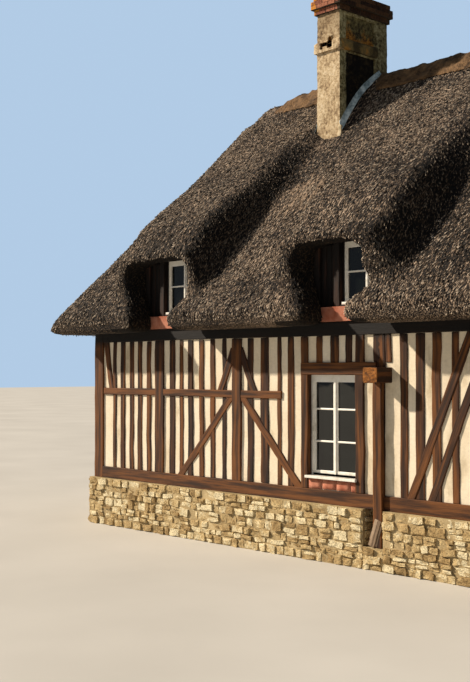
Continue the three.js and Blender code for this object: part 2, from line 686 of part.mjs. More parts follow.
function apron(center, grow) {
  return block(center - DORMER_HALF - 190 - grow, center + DORMER_HALF - 100 + grow,
    -HALF_WIDTH - 60 - grow, -HALF_WIDTH + TIMBER_DEPTH, PLATE_TOP + SIT - grow, APRON_TOP - SIT + grow);
}

const DORMER_BACK = 2300;
const CORNERS = [[-1, -1], [1, -1], [1, 1], [-1, 1]];
let roof = hippedBody(ROOF_HALF_LENGTH, ROOF_HALF_WIDTH, EAVE_BOTTOM, 0, 0);
for (const [signX, signY] of CORNERS) {
  for (const flat of hipFlats(signX, signY)) roof = roof.subtract(flat);
}
roof = roof.add(swellBody(-1)).add(swellBody(1));
for (const distance of DORMER_CENTERS) roof = roof.add(hood(along(distance)));
const attic = hippedBody(ATTIC_HALF_LENGTH, ATTIC_HALF_WIDTH, EAVE_BOTTOM - 100, MAIN_DROP, HIP_DROP);
roof = roof.subtract(attic).subtract(stackHole);
for (const distance of DORMER_CENTERS) {
  const center = along(distance);
  roof = roof.subtract(mouth(center));
  roof = roof.subtract(slabXZ(dormerOutline(center, SIT), -ATTIC_HALF_WIDTH - 1, -DORMER_BACK));
  roof = roof.subtract(apron(center, SIT));
}

// The roof is laid in four parts that meet at the ridge and hips
const HIP_GAP = SIT / 2;
const BIG = 200;
const cornerX = ROOF_HALF_LENGTH;
const cornerY = ROOF_HALF_WIDTH;
const apexX = RIDGE_HALF_LENGTH;
const cutTop = RIDGE_TOP + 2000;

function roofPart(outline) {
  return roof.intersect(slabXY(outline, 0, cutTop));
}

const slopeOutline = [
  [-cornerX + HIP_GAP, -cornerY - BIG],
  [cornerX - HIP_GAP, -cornerY - BIG],
  [cornerX - HIP_GAP, -cornerY],
  [apexX - HIP_GAP, -HIP_GAP],
  [-apexX + HIP_GAP, -HIP_GAP],
  [-cornerX + HIP_GAP, -cornerY],
];
const hipOutline = [
  [cornerX + HIP_GAP, -cornerY],
  [cornerX + BIG, -cornerY],
  [cornerX + BIG, cornerY],
  [cornerX + HIP_GAP, cornerY],
  [apexX + HIP_GAP, 0],
];
const turned = (outline) => outline.map(([x, y]) => [-x, -y]);
addPiece('front_thatch', roofPart(slopeOutline), 'thatch');
addPiece('back_thatch', roofPart(turned(slopeOutline)), 'thatch');
addPiece('right_hip_thatch', roofPart(hipOutline), 'thatch');
addPiece('left_hip_thatch', roofPart(turned(hipOutline)), 'thatch');

// Dormer fronts: oak posts and boards, casement, glass and the clay apron below
DORMER_CENTERS.forEach((distance, i) => {
  const center = along(distance);
  const name = `dormer_${i + 1}`;
  const left = center - DORMER_WINDOW_WIDTH / 2;
  const right = center + DORMER_WINDOW_WIDTH / 2;
  const group = new THREE.Group();
  group.position.y = -HALF_WIDTH;
  cottage.add(group);
  const whole = slabXZ(dormerOutline(center, -SIT), -PROUD, TIMBER_DEPTH);
  const windowHole = block(left, right, -2 * WALL, 2 * WALL, DORMER_SILL, DORMER_HEAD);
  const belowSill = block(left - DORMER_POST - SIDE_BOARDS - 1, right + DORMER_POST + 1, -2 * WALL,
    2 * WALL, 0, APRON_TOP);
  const thin = block(left - DORMER_POST - SIDE_BOARDS - 1, left - DORMER_POST, -2 * WALL, 30, 0, 5000);
  addPiece(`${name}_frame`, whole.subtract(windowHole).subtract(belowSill).subtract(thin), 'timber', group);
  addCasement(name, group, left, right, DORMER_SILL, DORMER_HEAD, 0);
  addPiece(`${name}_apron`, apron(center, 0), 'terracotta');
});

// Rafters in pairs, tied by the ridge pieces and a purlin behind
const RAFTER_WIDTH = 90;
const RAFTER_DEPTH = 130;
const RAFTER_GAP = 0.5;
const RAFTERS = [1150, 2640, 3300, 4250, 6500, 7450, 9650];
const RIDGE_BEAM = 160;

function rafterPair(center) {
  const foot = HALF_WIDTH - 20;
  const top = (y) => innerHeight(y) - RAFTER_GAP;
  const under = (y) => innerHeight(y) - RAFTER_DEPTH * Math.hypot(1, MAIN_PITCH);
  const outline = [
    [-foot, PLATE_TOP + SIT],
    [-foot + 150, PLATE_TOP + SIT],
    [-foot + 150, under(foot - 150)],
    [0, under(0)],
    [foot - 150, under(foot - 150)],
    [foot - 150, PLATE_TOP + SIT],
    [foot, PLATE_TOP + SIT],
    [foot, top(foot)],
    [0, top(0)],
    [-foot, top(foot)],
  ];
  return slabYZ(outline, along(center) - RAFTER_WIDTH / 2, along(center) + RAFTER_WIDTH / 2);
}

const ridgeBeamTop = innerHeight(0) - RIDGE_BEAM;
const ridgeBeams = [[1150, 2640], [3300, 9650]].map(([start, end]) =>
  block(along(start), along(end), -RAFTER_WIDTH / 2, RAFTER_WIDTH / 2, ridgeBeamTop - RIDGE_BEAM, ridgeBeamTop));
const PURLIN_Y = 1500;
const purlinTop = innerHeight(PURLIN_Y) - 190;
const purlin = block(along(1150), along(9650), PURLIN_Y - 60, PURLIN_Y + 60, purlinTop - 120, purlinTop);
addPiece('roof_frame', join([...RAFTERS.map(rafterPair), ...ridgeBeams, purlin]), 'timber');

// Clay ridge, bedded over the thatch on each side of the chimney
const RIDGE_WING = 300;
const RIDGE_COVER = 70;

function ridgeClay(start, end) {
  const lay = SIT * 3;
  const outline = [
    [-RIDGE_WING, mainHeight(RIDGE_WING) + lay],
    [0, mainHeight(0) + lay],
    [RIDGE_WING, mainHeight(RIDGE_WING) + lay],
    [RIDGE_WING - 20, mainHeight(RIDGE_WING) + RIDGE_COVER],
    [120, mainHeight(120) + RIDGE_COVER + 30],
    [0, RIDGE_TOP + RIDGE_COVER],
    [-120, mainHeight(120) + RIDGE_COVER + 30],
    [-RIDGE_WING + 20, mainHeight(RIDGE_WING) + RIDGE_COVER],
  ];
  return slabYZ(outline, along(start), along(end));
}

const RIDGE_START = ROOF_HALF_LENGTH - RIDGE_HALF_LENGTH - OVERHANG + 250;
addPiece('left_ridge_clay', ridgeClay(RIDGE_START, STACK_LEFT - SIT), 'clay');
addPiece('right_ridge_clay', ridgeClay(STACK_RIGHT + SIT, LENGTH - RIDGE_START), 'clay');

// Lead flashing round the front and sides of the stack, stepped on to the slope
const FLASHING = 14;
const FLASHING_RISE = 130;

function flashing() {
  const lift = 2;
  const backY = -RIDGE_WING - 10;
  const frontY = STACK_FRONT - SIT - FLASHING;
  const side = [
    [frontY, mainHeight(frontY)],
    [backY, mainHeight(backY)],
    [backY, mainHeight(backY) + FLASHING_RISE],
    [frontY, mainHeight(frontY) + FLASHING_RISE],
  ];
  const outer = slabYZ(side, stackX[0] - SIT - FLASHING, stackX[1] + SIT + FLASHING);
  return outer.subtract(stackHole).subtract(roof.translate([0, 0, lift]));
}

addPiece('chimney_flashing', flashing(), 'lead');

export default cottage;
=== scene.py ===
"""A thatched, half-timbered cottage, finished in Blender around its CAD frame.

Everything is in metres. X runs along the house, the front faces -Y, and the ground is at Z = 0.
"""
import json
import math
import random
from contextlib import contextmanager

import bpy
from mathutils import Matrix, Vector

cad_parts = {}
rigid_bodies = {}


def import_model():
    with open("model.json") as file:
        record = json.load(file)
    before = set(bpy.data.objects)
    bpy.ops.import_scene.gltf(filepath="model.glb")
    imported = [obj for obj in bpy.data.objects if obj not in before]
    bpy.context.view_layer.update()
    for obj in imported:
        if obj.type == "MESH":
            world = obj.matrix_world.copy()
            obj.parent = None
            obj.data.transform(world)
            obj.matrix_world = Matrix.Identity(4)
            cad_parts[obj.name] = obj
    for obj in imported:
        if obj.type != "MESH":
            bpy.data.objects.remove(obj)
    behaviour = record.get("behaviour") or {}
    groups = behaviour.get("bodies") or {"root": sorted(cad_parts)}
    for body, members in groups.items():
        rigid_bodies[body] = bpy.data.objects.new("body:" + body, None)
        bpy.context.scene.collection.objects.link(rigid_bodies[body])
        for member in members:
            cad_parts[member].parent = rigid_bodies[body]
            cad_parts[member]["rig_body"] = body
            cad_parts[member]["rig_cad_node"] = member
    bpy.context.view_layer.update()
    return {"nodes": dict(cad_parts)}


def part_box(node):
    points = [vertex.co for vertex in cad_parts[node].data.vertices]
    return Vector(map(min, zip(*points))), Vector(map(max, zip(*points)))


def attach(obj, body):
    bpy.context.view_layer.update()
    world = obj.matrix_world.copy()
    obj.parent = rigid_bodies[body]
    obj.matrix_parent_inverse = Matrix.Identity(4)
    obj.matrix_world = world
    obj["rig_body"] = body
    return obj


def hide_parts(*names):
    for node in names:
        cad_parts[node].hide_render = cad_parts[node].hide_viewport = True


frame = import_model()
nodes = frame["nodes"]


# Sizes that come from the frame
def low(node, axis):
    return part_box(node)[0]["XYZ".index(axis)]


def high(node, axis):
    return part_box(node)[1]["XYZ".index(axis)]


def middle(node, axis):
    return (low(node, axis) + high(node, axis)) / 2


# Colours, nodes and materials
def srgb(code):
    """A colour written as #rrggbb, in linear light."""
    parts = [int(code[i:i + 2], 16) / 255 for i in (1, 3, 5)]
    linear = [p / 12.92 if p <= 0.04045 else ((p + 0.055) / 1.055) ** 2.4 for p in parts]
    return (*linear, 1.0)


def link(tree, source, socket):
    """Feeds a socket from another one, or from a node's first output."""
    tree.links.new(getattr(source, "outputs", [source])[0], socket)


def add(tree, kind, settings=None, links=None, stops=()):
    """Adds one node with its settings, what feeds its sockets, and a ramp's (place, colour) stops."""
    node = tree.nodes.new(kind)
    for name, value in (settings or {}).items():
        if isinstance(name, str) and name in node.bl_rna.properties:
            setattr(node, name, value)
        else:
            node.inputs[name].default_value = value
    for name, source in (links or {}).items():
        link(tree, source, node.inputs[name])
    for count, (position, color) in enumerate(stops):
        elements = node.color_ramp.elements
        element = elements[count] if count < 2 else elements.new(position)
        element.position = position
        element.color = srgb(color)
    return node


def start_material(name, **sockets):
    """A material and its tree, with the plain sockets of its Principled shader set."""
    material = bpy.data.materials.new(name)
    material.use_nodes = True
    shader = material.node_tree.nodes["Principled BSDF"]
    for socket, value in sockets.items():
        shader.inputs[socket.replace("_", " ")].default_value = value
    return material, material.node_tree


def dress(material, color, height=None, strength=1.0, depth=0.0):
    """Gives the shader its colour, and a bump that is depth metres deep where height is given."""
    tree = material.node_tree
    shader = tree.nodes["Principled BSDF"]
    link(tree, color, shader.inputs["Base Color"])
    if height is not None:
        bump = add(tree, "ShaderNodeBump", {"Strength": strength, "Distance": depth}, {"Height": height})
        link(tree, bump, shader.inputs["Normal"])
    return material


def object_space(tree, size, turn=(0.0, 0.0, 0.0)):
    """Object coordinates turned by turn and divided by size, so a pattern has that size in metres."""
    place = add(tree, "ShaderNodeTexCoord")
    sizes = size if isinstance(size, tuple) else (size,) * 3
    return add(tree, "ShaderNodeMapping", {"vector_type": "TEXTURE", "Rotation": turn, "Scale": sizes},
               {"Vector": place.outputs["Object"]})


def turned_space(turn):
    return lambda tree, size: object_space(tree, size, turn)


def uv_space(tree, size):
    """The piece's own UV map, in metres, divided by size."""
    place = add(tree, "ShaderNodeUVMap", {"uv_map": "grain"})
    return add(tree, "ShaderNodeMapping", {"vector_type": "TEXTURE", "Scale": size}, {"Vector": place})


def spot_on(tree):
    """The X, Y and Z of each point of the piece, in metres."""
    place = add(tree, "ShaderNodeTexCoord")
    return add(tree, "ShaderNodeSeparateXYZ", {}, {0: place.outputs["Object"]}).outputs


# Noise from plain to crumbly, one cell to the unit. Its size in metres comes from its coordinates.
PLAIN = {"Scale": 1.0, "Detail": 2}
BROAD = {"Scale": 1.0, "Detail": 3}
EVEN = {"Scale": 1.0, "Detail": 4}
GRITTY = {"Scale": 1.0, "Detail": 3, "Roughness": 0.6}
ROUGH = {"Scale": 1.0, "Detail": 4, "Roughness": 0.6}
RAGGED = {"Scale": 1.0, "Detail": 5, "Roughness": 0.65}
CRUMBLY = {"Scale": 1.0, "Detail": 5, "Roughness": 0.7}
DARKEN = {"blend_type": "MULTIPLY", "Fac": 1.0}


def drifting(name, size, noise, stops, strength=0.0, depth=0.0, **sockets):
    """A smooth surface whose colour drifts in clouds of this size. Where strength is given it
    swells with them."""
    material, tree = start_material(name, **sockets)
    drift = add(tree, "ShaderNodeTexNoise", noise, {"Vector": object_space(tree, size)})
    color = add(tree, "ShaderNodeValToRGB", {}, {"Fac": drift}, stops)
    return dress(material, color, drift if strength else None, strength, depth)


def sandy(name, dark, pale, grit=0.008, patch=0.25, depth=0.004):
    """A gritty lime or clay surface, with grains 8 mm and patches 250 mm across unless given."""
    material, tree = start_material(name, Roughness=0.93, Specular_IOR_Level=0.2)
    patches = add(tree, "ShaderNodeTexNoise", ROUGH, {"Vector": object_space(tree, patch)})
    grains = add(tree, "ShaderNodeTexNoise", GRITTY, {"Vector": object_space(tree, grit)})
    mixed = add(tree, "ShaderNodeMath", {"operation": "MULTIPLY_ADD", 1: 0.5}, {0: grains, 2: patches})
    color = add(tree, "ShaderNodeValToRGB", {}, {"Fac": mixed}, [(0.55, dark), (0.95, pale)])
    return dress(material, color, grains, 0.7, depth)


# Modelling helpers
def only(piece):
    """Selects this piece and nothing else, and makes it active."""
    bpy.ops.object.select_all(action="DESELECT")
    piece.select_set(True)
    bpy.context.view_layer.objects.active = piece
    return piece


def primitive(operator, **settings):
    """Adds a primitive at the origin, with nothing else selected."""
    bpy.ops.object.select_all(action="DESELECT")
    operator(**settings)
    return bpy.context.object


def squared(left, right, near, far, bottom, top):
    """A squared block between these places."""
    block = primitive(bpy.ops.mesh.primitive_cube_add, size=1)
    centre = ((left + right) / 2, (near + far) / 2, (bottom + top) / 2)
    block.data.transform(Matrix.LocRotScale(centre, None, (right - left, far - near, top - bottom)))
    return block


@contextmanager
def editing(piece, faces=None, edges=None):
    """Edit mode with the chosen faces or edges selected, or else everything. Each is chosen by its
    centre and its normal or direction."""
    only(piece)
    mesh = piece.data
    bpy.ops.object.mode_set(mode="EDIT")
    bpy.ops.mesh.select_mode(type="EDGE" if edges else "FACE")
    bpy.ops.mesh.select_all(action="DESELECT" if faces or edges else "SELECT")
    bpy.ops.object.mode_set(mode="OBJECT")
    if faces:
        for face in mesh.polygons:
            face.select = bool(faces(face.center, face.normal))
    if edges:
        for edge in mesh.edges:
            start, end = (mesh.vertices[corner].co for corner in edge.vertices)
            edge.select = bool(edges((start + end) / 2, (end - start).normalized()))
    bpy.ops.object.mode_set(mode="EDIT")
    yield
    bpy.ops.object.mode_set(mode="OBJECT")


def pull(piece, faces, move, spread):
    """Moves the chosen faces, and what lies within spread of them less and less."""
    with editing(piece, faces=faces):
        bpy.ops.transform.translate(value=move, use_proportional_edit=True,
                                    proportional_edit_falloff="SMOOTH", proportional_size=spread)


def keep_side(piece, point, outward):
    """Cuts the piece with a plane, closes it, and drops what lies beyond."""
    with editing(piece):
        bpy.ops.mesh.bisect(plane_co=point, plane_no=outward, use_fill=True, clear_outer=True)
    return piece


def apply(piece, kind, **settings):
    """Gives the piece one modifier and applies it."""
    only(piece)
    modifier = piece.modifiers.new(kind.lower(), kind)
    for name, value in settings.items():
        setattr(modifier, name, value)
    bpy.ops.object.modifier_apply(modifier=modifier.name)
    return piece


def ease(piece, width, segments=2):
    """Rounds the sharp edges."""
    return apply(piece, "BEVEL", width=width, segments=segments, limit_method="ANGLE",
                 angle_limit=math.radians(50))


def roughen(piece, size, strength, direction="NORMAL"):
    """Moves the surface in and out by a cloud pattern of this size, both in metres."""
    texture = bpy.data.textures.new("cloud", "CLOUDS")
    texture.noise_scale = size
    texture.noise_depth = 2
    return apply(piece, "DISPLACE", texture=texture, texture_coords="LOCAL", strength=strength,
                 mid_level=0.5, direction=direction)


def smooth_faces(piece):
    """Shades the piece smooth, apart from its sharp edges."""
    only(piece)
    bpy.ops.object.shade_smooth_by_angle(angle=math.radians(40))


def copy_piece(source, name):
    """A free copy with its own mesh."""
    piece = source.copy()
    piece.data = source.data.copy()
    piece.name = name
    piece.parent = None
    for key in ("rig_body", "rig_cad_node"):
        if key in piece:
            del piece[key]
    bpy.context.scene.collection.objects.link(piece)
    piece.hide_render = False
    return piece


def merge(piece):
    """Joins the loose triangles of a CAD mesh."""
    return apply(piece, "WELD", merge_threshold=0.0004)


def join(pieces, name):
    """Makes one piece of several."""
    bpy.ops.object.select_all(action="DESELECT")
    for piece in pieces:
        piece.select_set(True)
    bpy.context.view_layer.objects.active = pieces[0]
    bpy.ops.object.join()
    pieces[0].name = name
    return pieces[0]


def remove(pieces):
    for piece in pieces:
        bpy.data.objects.remove(piece)


def finish(piece, name, slot, material, *replaced):
    """Names a finished piece, paints it, fixes it to the house, and hides the nodes it stands for."""
    piece.name = name
    piece.data.materials.clear()
    piece.data.materials.append(material)
    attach(piece, "root")
    if replaced:
        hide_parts(*replaced)
    return piece


def repaint(node, material):
    """Gives a CAD node that stays its finish."""
    nodes[node].data.materials.clear()
    nodes[node].data.materials.append(material)


def mark_faces(piece, name, chosen):
    """Gives each face a share from 0 to 1, by its centre and normal."""
    layer = piece.data.attributes.new(name, "FLOAT", "FACE")
    shares = [float(chosen(face.center, face.normal)) for face in piece.data.polygons]
    layer.data.foreach_set("value", shares)


def tint(mesh, tone):
    """Gives a whole stone, brick or timber its own tone, from 0 to 1."""
    shade = mesh.attributes.new("tone", "FLOAT", "POINT")
    shade.data.foreach_set("value", [tone] * len(mesh.vertices))


def shape_nodes(name):
    """A geometry node group with its input and output, for a modifier."""
    tree = bpy.data.node_groups.new(name, "GeometryNodeTree")
    tree.interface.new_socket("Geometry", in_out="INPUT", socket_type="NodeSocketGeometry")
    tree.interface.new_socket("Geometry", in_out="OUTPUT", socket_type="NodeSocketGeometry")
    return tree, add(tree, "NodeGroupInput"), add(tree, "NodeGroupOutput")


# The roof's planes, measured from the thatch
EAVE_TOP = 3.10
RIDGE_TOP = 6.80
ROOF_HALF_LENGTH = high("right_hip_thatch", "X")
ROOF_HALF_WIDTH = high("back_thatch", "Y")
HIP_RUN = 1.15
RIDGE_HALF_LENGTH = ROOF_HALF_LENGTH - HIP_RUN
MAIN_PITCH = (RIDGE_TOP - EAVE_TOP) / ROOF_HALF_WIDTH
MAIN_TILT = math.atan(MAIN_PITCH)
HIP_TILT = math.atan((RIDGE_TOP - EAVE_TOP) / HIP_RUN)
HIP_SLANT = HIP_RUN / ROOF_HALF_WIDTH


# Weathered water reed: grey-brown stems laid down the slope. The gaps between the butts are painted
# nearly black, painted shade between the stems, so the eye sees short strokes rather than a plain
# brown. Stems are 5 to 8 mm thick in life, and are drawn twice as coarse so that they show.
REED_TONES_AND_GAP_SHADE = [(0.58, "#0d0907"), (0.63, "#2b221c"), (0.68, "#6e5b48"), (0.76, "#b8a48f")]
STEM_TONES = [(0.44, "#140f0b"), (0.64, "#574839"), (0.88, "#a3917c"), (1.15, "#cbbaa5")]
# Painted shade: the tint that reed in the mouths and on flanks facing away from the sun is multiplied by.
PAINTED_SHADE_TINT = srgb("#645e54")
REED_STRAW = srgb("#bfa489")
STRAW_STREAK_SPOT = (-2.0, -2.0, 4.75)
REED_ACROSS = 0.015
REED_ALONG = 0.062
REED_PATCH = 0.9
ALONG_Y = (REED_ACROSS, REED_ALONG, REED_ACROSS)
ALONG_X = (REED_ALONG, REED_ACROSS, REED_ACROSS)

# Each slope has its node, its tilt, the way its reed runs, and its reed ends to the square metre
SLOPES = {
    "front": ("front_thatch", (MAIN_TILT, 0, 0), ALONG_Y, 680),
    "back": ("back_thatch", (-MAIN_TILT, 0, 0), ALONG_Y, 300),
    "left": ("left_hip_thatch", (0, -HIP_TILT, 0), ALONG_X, 600),
    "right": ("right_hip_thatch", (0, HIP_TILT, 0), ALONG_X, 380),
}


def painted_shade(tree, color):
    """Darkens the reed by the share on each face: painted shade in the dormer mouths and on flanks facing
    away from the sun.
    """
    share = add(tree, "ShaderNodeAttribute", {"attribute_name": "painted_shade"})
    return add(tree, "ShaderNodeMixRGB", {"blend_type": "MULTIPLY", "Color2": PAINTED_SHADE_TINT},
               {"Color1": color, "Fac": share.outputs["Fac"]})


def straw_streaked(tree, color):
    """Straw-pale reed, in streaks down the slope, round a spot in the valley below the chimney."""
    place = add(tree, "ShaderNodeTexCoord")
    away = add(tree, "ShaderNodeVectorMath", {"operation": "DISTANCE", 1: STRAW_STREAK_SPOT},
               {0: place.outputs["Object"]})
    near = add(tree, "ShaderNodeMapRange",
               {"From Min": 0.3, "From Max": 1.0, "To Min": 0.12, "To Max": -0.3},
               {"Value": away.outputs["Value"]})
    streaks = add(tree, "ShaderNodeTexNoise", ROUGH,
                  {"Vector": object_space(tree, (0.06, 0.34, 0.06), (MAIN_TILT, 0, 0))})
    amount = add(tree, "ShaderNodeMath", {"operation": "ADD"}, {0: streaks, 1: near})
    share = add(tree, "ShaderNodeMapRange", {"From Min": 0.60, "From Max": 0.72, "To Max": 0.5},
                {"Value": amount})
    return add(tree, "ShaderNodeMixRGB", {"Color2": REED_STRAW}, {"Color1": color, "Fac": share})


def reed_surface(name, turn, size):
    """The dressed face of a slope: strokes that run down it, in patches that bleached unevenly."""
    material, tree = start_material(name, Roughness=0.92, Specular_IOR_Level=0.25)
    strokes = add(tree, "ShaderNodeTexNoise", {**ROUGH, "Roughness": 0.62},
                  {"Vector": object_space(tree, size, turn)})
    patches = add(tree, "ShaderNodeTexNoise", BROAD, {"Vector": object_space(tree, REED_PATCH)})
    tone = add(tree, "ShaderNodeMath", {"operation": "MULTIPLY_ADD", 1: 0.22}, {0: patches, 2: strokes})
    # The darkest tones are painted shade in the gaps between the stems.
    color = add(tree, "ShaderNodeValToRGB", {}, {"Fac": tone}, REED_TONES_AND_GAP_SHADE)
    return dress(material, painted_shade(tree, straw_streaked(tree, color)), strokes, 1.0, 0.02)


def reed_stems():
    """Loose reed ends: each stem has its own tone, and is darkened towards its root by painted shade."""
    material, tree = start_material("water reed ends", Roughness=0.85, Specular_IOR_Level=0.3)
    tone = add(tree, "ShaderNodeAttribute", {"attribute_name": "tone"})
    tip = add(tree, "ShaderNodeAttribute", {"attribute_name": "tip"})
    patches = add(tree, "ShaderNodeTexNoise", BROAD, {"Vector": object_space(tree, REED_PATCH)})
    mixed = add(tree, "ShaderNodeMath", {"operation": "MULTIPLY_ADD", 1: 0.6},
                {0: patches, 2: tone.outputs["Fac"]})
    color = add(tree, "ShaderNodeValToRGB", {}, {"Fac": mixed}, STEM_TONES)
    # Painted shade: each stem darkens towards its root, where the stems crowd together.
    painted_root_shade = add(tree, "ShaderNodeMapRange", {"To Min": 0.12, "To Max": 1.0}, {"Value": tip.outputs["Fac"]})
    final = add(tree, "ShaderNodeMixRGB", DARKEN, {"Color1": straw_streaked(tree, color), "Color2": painted_root_shade})
    return dress(material, painted_shade(tree, final))


reed_faces = {side: reed_surface(f"water reed laid on the {side}", turn, run)
              for side, (_, turn, run, _) in SLOPES.items()}
reed_end = reed_stems()


# Thatch: one skin over all four slopes, brushed down the slope, then parted at ridge and hips
SKIN_GRAIN = 0.080
LUMP_SIZE = 0.7
LUMP_HEIGHT = 0.032
RIDGE_HEIGHT = 0.035
BRUSHED_DOWN = 0.034
RIDGE_REACH = {"X": 0.13, "Y": 0.13, "Z": 0.55}


def brushing():
    """Broad lumps, and ridges that run down each slope, on faces that look up."""
    tree, source, result = shape_nodes("brushed reed")
    normal = add(tree, "GeometryNodeInputNormal")
    facing = add(tree, "ShaderNodeSeparateXYZ", {}, {0: normal})
    place = add(tree, "GeometryNodeInputPosition")
    spot = add(tree, "ShaderNodeSeparateXYZ", {}, {0: place})
    shares = {axis: add(tree, "ShaderNodeMath", {"operation": "DIVIDE", 1: size}, {0: spot.outputs[axis]})
              for axis, size in RIDGE_REACH.items()}
    ridges = []
    for axis in "XY":
        spread = add(tree, "ShaderNodeCombineXYZ", {}, {"X": shares[axis], "Z": shares["Z"]})
        ridges.append(add(tree, "ShaderNodeTexNoise", GRITTY, {"Vector": spread}))
    side = add(tree, "ShaderNodeMath", {"operation": "ABSOLUTE"}, {0: spot.outputs["Y"]})
    slant = add(tree, "ShaderNodeMath",
                {"operation": "MULTIPLY_ADD", 1: -HIP_SLANT, 2: -RIDGE_HALF_LENGTH}, {0: side})
    end = add(tree, "ShaderNodeMath", {"operation": "ABSOLUTE"}, {0: spot.outputs["X"]})
    past_hip = add(tree, "ShaderNodeMath", {"operation": "ADD"}, {0: end, 1: slant})
    on_hip = add(tree, "ShaderNodeMapRange", {"From Min": -0.1, "From Max": 0.1}, {"Value": past_hip})
    pattern = add(tree, "ShaderNodeMix", {}, {0: on_hip, 2: ridges[0], 3: ridges[1]})
    broad = add(tree, "ShaderNodeVectorMath", {"operation": "SCALE", "Scale": 1 / LUMP_SIZE}, {0: place})
    lumps = add(tree, "ShaderNodeTexNoise", PLAIN, {"Vector": broad})
    ridged = add(tree, "ShaderNodeMath", {"operation": "MULTIPLY_ADD", 1: RIDGE_HEIGHT, 2: -BRUSHED_DOWN},
                 {0: pattern})
    height = add(tree, "ShaderNodeMath", {"operation": "MULTIPLY_ADD", 1: LUMP_HEIGHT},
                 {0: lumps, 2: ridged})
    skyward = add(tree, "ShaderNodeMapRange", {"From Min": -0.2, "From Max": 0.3},
                  {"Value": facing.outputs["Z"]})
    amount = add(tree, "ShaderNodeMath", {"operation": "MULTIPLY"}, {0: height, 1: skyward})
    offset = add(tree, "ShaderNodeVectorMath", {"operation": "SCALE"}, {0: normal, "Scale": amount})
    moved = add(tree, "GeometryNodeSetPosition", {}, {"Geometry": source, "Offset": offset})
    link(tree, moved, result.inputs[0])
    return tree


# The middle hood hangs lower over the right of its window than the other two
CHEEK_SHIFT = 0.17
CHEEK_SPREAD = 0.30


def on_cheek(centre, normal):
    """The upper right side of the middle hood's mouth."""
    return 0.1 < centre.x < 0.65 and centre.y < -3.06 and 3.60 < centre.z < 3.92 and normal.x < -0.35


def thatch_skin():
    skin = merge(join([copy_piece(nodes[node], "reed") for node, *_ in SLOPES.values()], "thatch"))
    apply(skin, "REMESH", mode="VOXEL", voxel_size=SKIN_GRAIN)
    apply(skin, "SMOOTH", factor=0.5, iterations=5)
    with editing(skin, faces=lambda centre, normal: normal.z > -0.15 and centre.y < 0.3):
        bpy.ops.mesh.subdivide(number_cuts=1, smoothness=0.5)
    pull(skin, on_cheek, (-CHEEK_SHIFT, 0, 0), CHEEK_SPREAD)
    return apply(skin, "NODES", node_group=brushing())


def hip_plane(end, half, to_hip):
    """The upright plane under one hip: its outward normal points at the slope or at the end."""
    normal = Vector((end, -half * HIP_SLANT, 0)).normalized()
    return (end * RIDGE_HALF_LENGTH, 0, 0), normal if to_hip else -normal


def part_thatch(skin):
    """Each slope as a piece of its own, cut from the skin at the ridge and the hips."""
    parts = {}
    for side, half in (("front", -1), ("back", 1)):
        parts[side] = keep_side(copy_piece(skin, side), (0, 0, 0), (0, -half, 0))
        for end in (-1, 1):
            keep_side(parts[side], *hip_plane(end, half, True))
    for side, end in (("left", -1), ("right", 1)):
        parts[side] = copy_piece(skin, side)
        for half in (-1, 1):
            keep_side(parts[side], *hip_plane(end, half, False))
    remove([skin])
    return parts


STEM_RADIUS = 0.0066
STEM_BURIED = 0.3
RUFFLE = 0.15
LAID = dict(length=0.056, lean_out=0.17, facing_low=0.12, facing_high=2.0, top=10.0)
CUT = dict(length=0.032, lean_out=0.45, facing_low=-0.25, facing_high=0.12, top=4.2)


